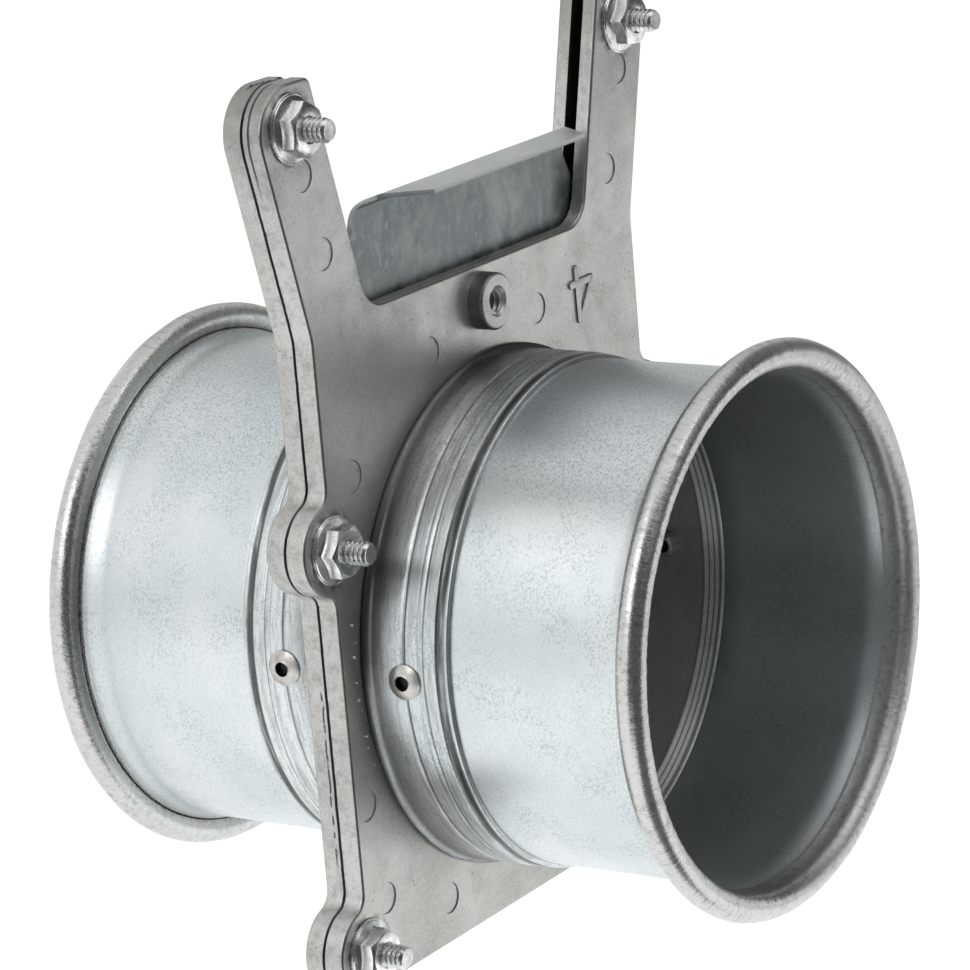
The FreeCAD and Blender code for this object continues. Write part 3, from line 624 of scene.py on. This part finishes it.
def soften(points, rounds):
    """Cut the corners of an open line a few times, keeping its two ends."""
    for _ in range(rounds):
        line = [points[0]]
        for (a, b), (c, d) in zip(points, points[1:]):
            line.append((0.75 * a + 0.25 * c, 0.75 * b + 0.25 * d))
            line.append((0.25 * a + 0.75 * c, 0.25 * b + 0.75 * d))
        points = line + [points[-1]]
    return points


def band_faces(rings, count, wrap=False, base=0):
    """Faces between rings of count points each; wrap joins the last ring to the first one."""
    faces = []
    for ring in range(rings if wrap else rings - 1):
        here, there = base + ring * count, base + (ring + 1) % rings * count
        for index in range(count):
            after = (index + 1) % count
            faces.append((here + index, here + after, there + after, there + index))
    return faces


def ring_points(along, segments, reach):
    """Points about Z at one level, each as far out as reach says for its angle."""
    points = []
    for segment in range(segments):
        angle = 2 * math.pi * segment / segments
        away = reach(angle)
        points.append((away * math.cos(angle), away * math.sin(angle), along))
    return points


def lathe(name, profile, segments, closed=False, shape=None):
    """Turn a section of (along Z, from Z) points about Z; shape may move a point at an angle."""
    points = []
    for segment in range(segments):
        angle = 2 * math.pi * segment / segments
        for along, away in profile:
            if shape:
                along, away = shape(angle, along, away)
            points.append((away * math.cos(angle), away * math.sin(angle), along))
    count = len(profile)
    faces = []
    for segment in range(segments):
        here = segment * count
        there = (segment + 1) % segments * count
        for index in range(count if closed else count - 1):
            after = (index + 1) % count
            faces.append((here + index, there + index, there + after, here + after))
    return mesh_from(name, points, faces)


def turned(mesh, matrix):
    mesh.transform(matrix)
    mesh.update()
    return mesh


# Collars

def line_dip(along):
    """Depth of the shallow lines pressed round the neck."""
    return sum(depth * math.exp(-((along - at) / width) ** 2) for at, depth, width in LINE_GROOVES)


def neck_stations(start, end):
    """Places along the neck, close together only where a line is pressed in."""
    stations = []
    along = start + 0.5
    while along < end:
        stations.append(along)
        along += 0.14 if min(abs(along - at) for at, _, _ in LINE_GROOVES) < 0.6 else 0.5
    return stations


def collar_section():
    """Closed section of the collar from the flared foot, out to the rim and back inside."""
    neck = DUCT_RADIUS + NECK_RISE
    bore = DUCT_RADIUS - SHEET
    foot_centre = (PLATE + (FLARE_RADIUS + SHEET) * math.sin(FLARE_ANGLE), neck + FLARE_RADIUS)
    foot = arc(foot_centre, FLARE_RADIUS, -math.pi / 2 - FLARE_ANGLE, -math.pi / 2, 8)
    start, floor, drop = LOCK_GROOVE
    ridge, rise = LOCK_RIDGE
    neck_line = [(along, neck - line_dip(along)) for along in neck_stations(foot_centre[0], start - 0.6)]
    duct_start = NECK_END + 1.0
    lock = soften([
        (start - 0.3, neck), (start, neck), (start + 0.35, neck - drop), (floor, neck - drop),
        (ridge, neck - drop + rise), (ridge + 0.5, neck - drop + rise), (NECK_END - 0.3, DUCT_RADIUS - 0.1),
        (NECK_END, DUCT_RADIUS), (duct_start, DUCT_RADIUS),
    ], 2)
    duct = [(duct_start + (RIM_FLARE_START - duct_start) * step / 5, DUCT_RADIUS) for step in range(1, 5)]
    rim_centre = (RIM_STATION, RIM_LEVEL)
    flare = [0.5 - 0.5 * math.cos(math.pi * step / 10) for step in range(10)]
    along_flare = [RIM_FLARE_START + (RIM_STATION - RIM_FLARE_START) * step / 10 for step in range(10)]
    gain = RIM_LEVEL - RIM_BEAD - bore
    flare_out = [(along, DUCT_RADIUS + gain * share) for along, share in zip(along_flare, flare)]
    flare_in = [(along, bore + gain * share) for along, share in zip(along_flare, flare)][::-1]
    roll_back = arc(rim_centre, RIM_BEAD - SHEET, -math.pi / 2, math.pi + RIM_CURL_END, 14)
    roll_out = arc(rim_centre, RIM_BEAD, math.pi + RIM_CURL_END, -math.pi / 2, 30)
    span = RIM_FLARE_START - SPIGOT_END - STOP_GROOVE_WIDTH
    inside = [(RIM_FLARE_START - span * step / 5, bore) for step in range(1, 5)]
    step_in = [
        (SPIGOT_END + STOP_GROOVE_WIDTH, bore),
        (SPIGOT_END + STOP_GROOVE_WIDTH / 2, bore + STOP_GROOVE_DEPTH),
        (SPIGOT_END, bore), (start + 0.8, bore), (start - SHEET / 4, neck - SHEET),
        (foot_centre[0], neck - SHEET),
    ]
    heel = arc(foot_centre, FLARE_RADIUS + SHEET, -math.pi / 2, -math.pi / 2 - FLARE_ANGLE, 6)
    outside = foot + neck_line + lock + duct + flare_out
    return outside + roll_back + roll_out + flare_in + inside + step_in + heel


def make_collar(name, side, seed):
    """Collar of the front (-1) or rear (1), with a rim that the rolling has wrinkled."""
    segments = COLLAR_SEGMENTS

    def dented(angle, along, away):
        near = max(0.0, min(1.0, (along - (RIM_STATION - RIM_WRINKLE_RUN)) / RIM_WRINKLE_RUN))
        if near > 0:
            ray = Vector((math.cos(angle), math.sin(angle), 0.0))
            wave = noise.noise(ray * 42 + Vector((0, 0, seed)))
            slow = noise.noise(ray * 7 + Vector((0, 0, seed + 5)))
            inner = max(0.0, min(1.0, (RIM_LEVEL - away) / RIM_BEAD + 0.3))
            push = RIM_WRINKLE * wave * inner + RIM_WAVE * slow
            along += push * near
            away += 0.6 * push * near
        return along, away

    mesh = lathe(name, collar_section(), segments, closed=True, shape=dented)
    # the lathe's Z becomes the side's own direction along Y
    turned(mesh, Matrix.Rotation(math.radians(-90 * side), 4, "X"))
    add_piece(name, mesh, "galvanised_collar", nodes=(name.replace("_shell", ""),), sharp=50)


for side_name, side, seed in (("front", -1, 3.0), ("rear", 1, 11.0)):
    make_collar(f"{side_name}_collar_shell", side, seed)


# Screws, nuts and rivets, each made along Z and then turned into place

def thread_radius(along, angle):
    """Radius of a 60 degree thread with a narrow crest and root."""
    phase = (along / THREAD_PITCH + angle / (2 * math.pi)) % 1.0
    slope = abs(phase - 0.5) * 2
    depth = max(0.0, min(1.0, (slope - 0.12) / 0.76))
    return SCREW_RADIUS - THREAD_DEPTH * (1 - depth)


def screw_mesh(name, tip, thread_run):
    """Pan head at Z 0 and up, thread over the last part of the shank down to the tip."""
    segments = 48
    per_pitch = 12
    rows = int(thread_run / THREAD_PITCH * per_pitch)
    points = []
    for row in range(rows + 1):
        along = tip + thread_run * row / rows
        limit = SCREW_RADIUS - THREAD_DEPTH * max(0.0, 1 - (along - tip) / SCREW_POINT)
        points += ring_points(along, segments, lambda angle: min(thread_radius(along, angle), limit))
    head = [
        (tip + thread_run + 0.3, SCREW_RADIUS - 0.3), (0.0, SCREW_RADIUS - 0.3), (0.0, HEAD_RADIUS - 0.15),
        (0.15, HEAD_RADIUS), (HEAD_HEIGHT * 0.55, HEAD_RADIUS - 0.12), (HEAD_HEIGHT * 0.8, HEAD_RADIUS - 0.6),
        (HEAD_HEIGHT * 0.93, HEAD_RADIUS - 1.5), (HEAD_HEIGHT, 0.35 * HEAD_RADIUS), (HEAD_HEIGHT, 0.0),
    ]
    for along, away in head:
        points += ring_points(along, segments, lambda angle: away)
    faces = [tuple(range(segments - 1, -1, -1))] + band_faces(rows + 1 + len(head), segments)
    return mesh_from(name, points, faces)


def cut_recess(piece):
    """Cut a tapered cross into the screw's head."""
    work = bmesh.new()
    half, arm = RECESS_WIDTH / 2, RECESS_SPAN / 2
    outline = [(-arm, -half), (-half, -half), (-half, -arm), (half, -arm), (half, -half), (arm, -half),
               (arm, half), (half, half), (half, arm), (-half, arm), (-half, half), (-arm, half)]
    top = [work.verts.new(Vector((x, y, HEAD_HEIGHT + 0.5)) * MM) for x, y in outline]
    low = [work.verts.new(Vector((x * 0.55, y * 0.8, HEAD_HEIGHT - RECESS_DEPTH)) * MM) for x, y in outline]
    work.faces.new(top)
    work.faces.new(list(reversed(low)))
    for index in range(len(outline)):
        after = (index + 1) % len(outline)
        work.faces.new((top[after], top[index], low[index], low[after]))
    bmesh.ops.recalc_face_normals(work, faces=work.faces)
    mesh = bpy.data.meshes.new("recess_cutter")
    work.to_mesh(mesh)
    work.free()
    cutter = bpy.data.objects.new("recess_cutter", mesh)
    bpy.context.scene.collection.objects.link(cutter)
    cut = piece.modifiers.new("Recess", "BOOLEAN")
    cut.object = cutter
    cut.operation = "DIFFERENCE"
    bpy.context.view_layer.update()
    done = bpy.data.meshes.new_from_object(piece.evaluated_get(bpy.context.evaluated_depsgraph_get()))
    piece.modifiers.clear()
    piece.data = done
    bpy.data.objects.remove(cutter)
    return done


def nut_mesh(name):
    """Hexagon nut on a thin round flange, its seat at Z 0."""
    steps = 10
    flats = NUT_FLATS / 2
    corner = flats / math.cos(math.radians(30))
    angles = [math.radians(60 * side + 60 * step / steps) for side in range(6) for step in range(steps)]
    drop = math.tan(NUT_CHAMFER)
    slope = (NUT_FLANGE_HEIGHT - NUT_FLANGE_EDGE) / (NUT_FLANGE_RADIUS - flats)
    bore = SCREW_RADIUS - 0.1

    def hexagon(angle):
        turn = (angle + math.pi / 6) % (math.pi / 3) - math.pi / 6
        return min(flats / math.cos(math.pi / 6 - abs(turn)), corner - 0.05)

    def level_ring(away, along):
        return [(away, along)] * len(angles)

    def flange_ring(inset, lift):
        return level_ring(NUT_FLANGE_RADIUS - inset, NUT_FLANGE_EDGE + lift)

    def foot_ring(gap, lift):
        reaches = [hexagon(angle) + gap for angle in angles]
        return [(away, NUT_FLANGE_EDGE + slope * (NUT_FLANGE_RADIUS - away) + lift) for away in reaches]

    def crown_ring(inset, sink):
        reaches = [hexagon(angle) for angle in angles]
        return [(away - inset, NUT_HEIGHT - drop * (away - NUT_FACE_RADIUS) + sink) for away in reaches]

    rings = [
        level_ring(NUT_FLANGE_RADIUS - 0.2, 0.0), level_ring(NUT_FLANGE_RADIUS, 0.12),
        flange_ring(0.0, -0.14), flange_ring(0.1, -0.02), flange_ring(0.22, 0.02), flange_ring(0.34, -0.06),
        flange_ring(0.48, slope * 0.48), foot_ring(0.16, 0.0), foot_ring(0.07, -0.08), foot_ring(0.0, -0.06),
        foot_ring(0.0, 0.1), crown_ring(0.0, -0.08), crown_ring(0.05, 0.02),
        level_ring(NUT_FACE_RADIUS + 0.05, NUT_HEIGHT - 0.03), level_ring(NUT_FACE_RADIUS - 0.06, NUT_HEIGHT),
        level_ring(bore + 0.42, NUT_HEIGHT), level_ring(bore + 0.34, NUT_HEIGHT - 0.04),
        level_ring(bore, NUT_HEIGHT - 0.4), level_ring(bore, 0.0),
    ]
    points = [(away * math.cos(angle), away * math.sin(angle), along)
              for ring in rings for angle, (away, along) in zip(angles, ring)]
    return mesh_from(name, points, band_faces(len(rings), len(angles), wrap=True))


def rivet_mesh(name, grip):
    """Blind rivet: its head's seat at Z 0, the tail below the grip."""
    rise = RIVET_HEAD_HEIGHT - RIVET_HEAD_EDGE
    dome = (RIVET_HEAD_RADIUS ** 2 + rise ** 2) / (2 * rise)
    centre = (RIVET_HEAD_HEIGHT - dome, 0.0)
    lip_turn = math.asin((RIVET_BORE_RADIUS + 0.25) / dome)
    edge_turn = math.asin(RIVET_HEAD_RADIUS / dome)
    bore_end = RIVET_HEAD_HEIGHT - RIVET_BORE_DEPTH
    tail = -(grip + RIVET_TAIL_LENGTH)
    section = [
        (bore_end, 0.0), (bore_end, RIVET_BORE_RADIUS), (RIVET_HEAD_HEIGHT - 0.3, RIVET_BORE_RADIUS),
        (RIVET_HEAD_HEIGHT - 0.08, RIVET_BORE_RADIUS + 0.08),
    ]
    section += arc(centre, dome, edge_turn, lip_turn, 10)[::-1]
    section += [
        (0.12, RIVET_HEAD_RADIUS), (0.0, RIVET_HEAD_RADIUS - 0.12), (0.0, RIVET_RADIUS),
        (-grip, RIVET_RADIUS), (-grip, RIVET_TAIL_RADIUS),
    ]
    section += arc((tail + 1.2, RIVET_TAIL_RADIUS - 1.2), 1.2, math.pi / 2, math.pi, 6)
    section.append((tail, 0.0))
    return lathe(name, section, 64)


def place_screws():
    """Stand each nut and screw where its node is."""
    to_front = Matrix.Rotation(math.radians(90), 4, "X")
    to_rear = Matrix.Rotation(math.radians(-90), 4, "X")
    for spot, turn in SCREW_TURNS.items():
        low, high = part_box(f"nut_{spot}")
        middle = (low + high) / 2
        spin = Matrix.Rotation(math.radians(turn), 4, "Z")
        seat = Matrix.Translation(Vector((middle.x, high.y, middle.z)))
        nut = turned(nut_mesh(f"flange_nut_{spot}"), seat @ to_front @ spin)
        add_piece(f"flange_nut_{spot}", nut, "zinc_nut", nodes=(f"nut_{spot}",), sharp=24)
        low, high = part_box(f"screw_{spot}")
        shank = (high.y - low.y) / MM - HEAD_HEIGHT
        thread_run = shank - 2 * PLATE + 1.0
        screw = screw_mesh(f"machine_screw_{spot}", -shank, thread_run)
        piece = add_piece(f"machine_screw_{spot}", screw, "zinc_screw", nodes=(f"screw_{spot}",), sharp=30)
        seat = Matrix.Translation(Vector((middle.x, high.y - HEAD_HEIGHT * MM, middle.z)))
        turned(cut_recess(piece), seat @ to_rear @ spin)


def place_rivets():
    """Stand each blind rivet where its node is."""
    for end in ("front", "rear"):
        for hand, direction in (("left", -1), ("right", 1)):
            low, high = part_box(f"rivet_{end}_{hand}")
            middle = (low + high) / 2
            grip = (high.x - low.x) / MM - RIVET_HEAD_HEIGHT - RIVET_TAIL_LENGTH
            tip = high.x if direction > 0 else low.x
            seat = Vector((tip - direction * RIVET_HEAD_HEIGHT * MM, middle.y, middle.z))
            lay = Matrix.Rotation(math.radians(90 * direction), 4, "Y")
            mesh = turned(rivet_mesh(f"blind_rivet_{end}_{hand}", grip), Matrix.Translation(seat) @ lay)
            add_piece(f"blind_rivet_{end}_{hand}", mesh, "rivet_metal", nodes=(f"rivet_{end}_{hand}",))


place_screws()
place_rivets()


# What the casting carries besides its own solid

def stroke_points(start, end, level, half):
    """Outline of a bar with round ends, at one level in front of the parting plane."""
    turn = math.atan2(end[1] - start[1], end[0] - start[0])
    points = []
    for (across, up), first in ((end, turn - math.pi / 2), (start, turn + math.pi / 2)):
        for step in range(9):
            angle = first + math.pi * step / 8
            points.append((across + half * math.cos(angle), -level, up + half * math.sin(angle)))
    return points


def make_figure():
    """Raised plain figure of the duct's nominal size, cast upside down."""
    half = FIGURE_WIDTH / 2
    points, faces = [], []
    for index, (start, end) in enumerate(FIGURE_STROKES):
        # each stroke's top stands a little higher than the last one's, so that no two lie in one plane
        top = PLATE + FIGURE_RISE + 0.012 * index
        section = (
            (PLATE - 0.3, half + 0.04), (PLATE, half + 0.04), (top - 0.12, half - 0.04),
            (top - 0.03, half - 0.1), (top, half - 0.2),
        )
        rings = [stroke_points(start, end, level, reach) for level, reach in section]
        count = len(rings[0])
        base = len(points)
        points += [point for ring in rings for point in ring]
        faces += band_faces(len(rings), count, base=base)
        faces.append(tuple(base + step for step in reversed(range(count))))
        faces.append(tuple(base + (len(rings) - 1) * count + step for step in range(count)))
    add_piece("size_figure", mesh_from("size_figure", points, faces), "cast_aluminium", sharp=25)


def make_boss_thread():
    """Thread in the lock screw's hole, a sleeve whose outside lies in the boss's wall."""
    segments, per_pitch = 40, 10
    run = PLATE + BOSS_RISE - BOSS_MOUTH - BOSS_THREAD_START
    rows = int(run / BOSS_THREAD_PITCH * per_pitch)

    def ridge(along, angle):
        phase = (along / BOSS_THREAD_PITCH + angle / (2 * math.pi)) % 1.0
        crest = max(0.0, 1 - abs(phase - 0.5) / 0.38)
        return BOSS_HOLE_RADIUS - 0.02 - BOSS_THREAD_DEPTH * min(1.0, 1.25 * crest)

    points = []
    for row in range(rows + 1):
        along = BOSS_THREAD_START + run * row / rows
        points += ring_points(along, segments, lambda angle: ridge(along, angle))
    for along in (BOSS_THREAD_START + run + 0.05, BOSS_THREAD_START):
        points += ring_points(along, segments, lambda angle: BOSS_HOLE_RADIUS + 0.12)
    points = [(BOSS_PLACE[0] + x, -z, BOSS_PLACE[1] + y) for x, y, z in points]
    mesh = mesh_from("boss_thread", points, band_faces(rows + 3, segments, wrap=True))
    add_piece("boss_thread", mesh, "cast_aluminium", sharp=40)


def make_joint_chips():
    """Bright chips and burrs that stayed in the corner between the plate and the front collar."""
    chance = random.Random(7)
    points, faces = [], []
    for degrees, away, reach in JOINT_CHIPS:
        angle = math.radians(degrees)
        middle = Vector((away * math.cos(angle), -(PLATE + 0.15), away * math.sin(angle)))
        work = bmesh.new()
        bmesh.ops.create_icosphere(work, subdivisions=1, radius=1.0)
        base = len(points)
        for vert in work.verts:
            jag = Vector([vert.co[axis] * reach * chance.uniform(0.1, 0.7) for axis in range(3)])
            points.append(tuple(middle + jag))
        faces += [tuple(base + vert.index for vert in face.verts) for face in work.faces]
        work.free()
    piece = add_piece("joint_chips", mesh_from("joint_chips", points, faces), "cast_aluminium", sharp=10)
    piece.data.materials[0] = CHIP_METAL


def make_tip_flash():
    """Torn flash on top of the left arm, a low fin with a ragged crest."""
    chance = random.Random(19)
    low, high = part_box("nut_top_left")
    across = (low.x + high.x) / 2 / MM
    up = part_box("front_casting")[1].z / MM - ARM_RADIUS
    steps = 34
    points = []
    for step in range(steps + 1):
        share = step / steps
        angle = math.radians(112 - 50 * share)
        offset = 2.2 * (1 - share) ** 1.6 + 0.18 * math.sin(9 * share)
        crest = (0.14 + 0.3 * chance.random()) * min(1.0, 6 * share + 0.1, 6 * (1 - share) + 0.1)
        section = ((-0.3, 0.2), (0.0, 0.2), (crest, 0.05), (crest, -0.05), (0.0, -0.2), (-0.3, -0.2))
        for rise, beside in section:
            reach = ARM_RADIUS + rise
            points.append((across + reach * math.cos(angle), offset + beside, up + reach * math.sin(angle)))
    faces = band_faces(steps + 1, 6)
    faces += [tuple(range(6)), tuple(6 * steps + index for index in reversed(range(6)))]
    piece = add_piece("tip_flash", mesh_from("tip_flash", points, faces), "cast_aluminium", sharp=20)
    piece.data.materials[0] = FLASH_METAL


make_figure()
make_boss_thread()
make_joint_chips()
make_tip_flash()


def coat(node_name, slot_name):
    """Give a node of the frame that shows as it is its material."""
    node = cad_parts[node_name]
    if not node.material_slots:
        node.data.materials.append(MATERIALS[slot_name])
    for material_slot in node.material_slots:
        material_slot.material = MATERIALS[slot_name]


coat("front_casting", "cast_aluminium")
coat("rear_casting", "cast_aluminium")
coat("gate_blade", "galvanised_blade")


# Camera, floor and light

def place_camera():
    flat = math.cos(CAMERA_ELEVATION)
    back = Vector((
        math.sin(CAMERA_AZIMUTH) * flat, -math.cos(CAMERA_AZIMUTH) * flat, math.sin(CAMERA_ELEVATION)))
    level = Vector((math.cos(CAMERA_AZIMUTH), math.sin(CAMERA_AZIMUTH), 0.0))
    upright = back.cross(level)
    right = level * math.cos(CAMERA_ROLL) + upright * math.sin(CAMERA_ROLL)
    up = back.cross(right)
    spot = right * CAMERA_AIM[0] + up * CAMERA_AIM[1] + back * CAMERA_DISTANCE
    camera = bpy.data.cameras.new("camera")
    camera.sensor_width = CAMERA_SENSOR
    camera.lens = CAMERA_SENSOR * CAMERA_FOCAL / PICTURE_WIDTH
    camera.clip_start = 0.01
    holder = bpy.data.objects.new("camera", camera)
    bpy.context.scene.collection.objects.link(holder)
    holder.matrix_world = Matrix.Translation(spot * MM) @ Matrix((right, up, back)).transposed().to_4x4()
    bpy.context.scene.camera = holder


def add_lamp(name, spot, side, watts):
    lamp = bpy.data.lights.new(name, "AREA")
    lamp.shape = "RECTANGLE"
    lamp.size = lamp.size_y = side
    lamp.energy = watts
    holder = bpy.data.objects.new(name, lamp)
    bpy.context.scene.collection.objects.link(holder)
    holder.location = spot
    holder.rotation_euler = (-Vector(spot)).to_track_quat("-Z", "Y").to_euler()


def shows_white(tree):
    """1 for rays from the camera, a mirror or glass, which see the backdrop as white."""
    path = tree.nodes.new("ShaderNodeLightPath")
    seen = path.outputs["Is Camera Ray"]
    for kind in ("Is Transmission Ray", "Is Glossy Ray"):
        either = tree.nodes.new("ShaderNodeMath")
        either.operation = "MAXIMUM"
        tree.links.new(seen, either.inputs[0])
        tree.links.new(path.outputs[kind], either.inputs[1])
        seen = either.outputs[0]
    return seen


def make_world():
    world = bpy.data.worlds.new("studio")
    world.use_nodes = True
    tree = world.node_tree
    tree.nodes.clear()
    output = tree.nodes.new("ShaderNodeOutputWorld")
    mix = tree.nodes.new("ShaderNodeMixShader")
    tree.links.new(shows_white(tree), mix.inputs[0])
    # the light that falls on the part, then the white backdrop
    for socket, color, strength in ((1, (0.97, 0.985, 1.0), 0.6), (2, (1.0, 1.0, 1.0), 1.0)):
        light = tree.nodes.new("ShaderNodeBackground")
        light.inputs["Color"].default_value = (*color, 1.0)
        light.inputs["Strength"].default_value = strength
        tree.links.new(light.outputs[0], mix.inputs[socket])
    tree.links.new(mix.outputs[0], output.inputs["Surface"])
    bpy.context.scene.world = world


def make_floor():
    """Pale floor below the held part; what it lacks of white is added for the eye and for mirrors."""
    mesh = bpy.data.meshes.new("floor")
    corners = ((-1, -1), (1, -1), (1, 1), (-1, 1))
    mesh.from_pydata([(x * FLOOR_REACH, y * FLOOR_REACH, 0) for x, y in corners], [], [(0, 1, 2, 3)])
    floor = bpy.data.objects.new("floor", mesh)
    floor.location.z = FLOOR_LEVEL
    bpy.context.scene.collection.objects.link(floor)
    graph = Graph("pale_floor")
    grain = graph.noise(graph.place, 6, 3)
    tone = graph.blend(graph.span(grain, 0.4, 0.6), (0.89, 0.89, 0.89), (0.90, 0.90, 0.90))
    graph.finish(tone, 0.85, 0.0)
    lift = graph.node("ShaderNodeEmission")
    graph.feed(lift.inputs["Strength"], graph.maths("MULTIPLY", shows_white(graph.tree), 0.5))
    both = graph.node("ShaderNodeAddShader")
    graph.feed(both.inputs[0], graph.shader.outputs["BSDF"])
    graph.feed(both.inputs[1], lift.outputs[0])
    graph.feed(graph.output.inputs["Surface"], both.outputs[0])
    mesh.materials.append(graph.material)


def make_card(name, tone, points, faces):
    """Card that stands beside the light for the reflections alone, as metal is photographed."""
    mesh = bpy.data.meshes.new(name)
    mesh.from_pydata(points, [], faces)
    card = bpy.data.objects.new(name, mesh)
    bpy.context.scene.collection.objects.link(card)
    graph = Graph(name)
    grain = graph.noise(graph.place, 3, 2)
    shade = graph.blend(graph.span(grain, 0.4, 0.6), (0.96 * tone,) * 3, (tone,) * 3)
    lit = graph.node("ShaderNodeEmission")
    graph.feed(lit.inputs["Color"], shade)
    graph.feed(graph.output.inputs["Surface"], lit.outputs[0])
    mesh.materials.append(graph.material)
    card.visible_camera = False
    card.visible_diffuse = False
    card.visible_shadow = False
    card.visible_transmission = False


def make_curved_card(name, tone, radius, start, end, low, high):
    steps = 24
    points = []
    for step in range(steps + 1):
        angle = math.radians(start + (end - start) * step / steps)
        points += [(radius * math.cos(angle), radius * math.sin(angle), level) for level in (low, high)]
    faces = [(2 * step, 2 * step + 2, 2 * step + 3, 2 * step + 1) for step in range(steps)]
    make_card(name, tone, points, faces)


place_camera()
make_world()
make_floor()
for curved in CURVED_CARDS:
    make_curved_card(*curved)
for card_name, card_tone, card_level, corners in FLAT_CARDS:
    make_card(card_name, card_tone, [(x, y, card_level) for x, y in corners], [(0, 1, 2, 3)])
for lamp_values in LAMPS:
    add_lamp(*lamp_values)
bpy.context.scene.view_settings.view_transform = "Standard"
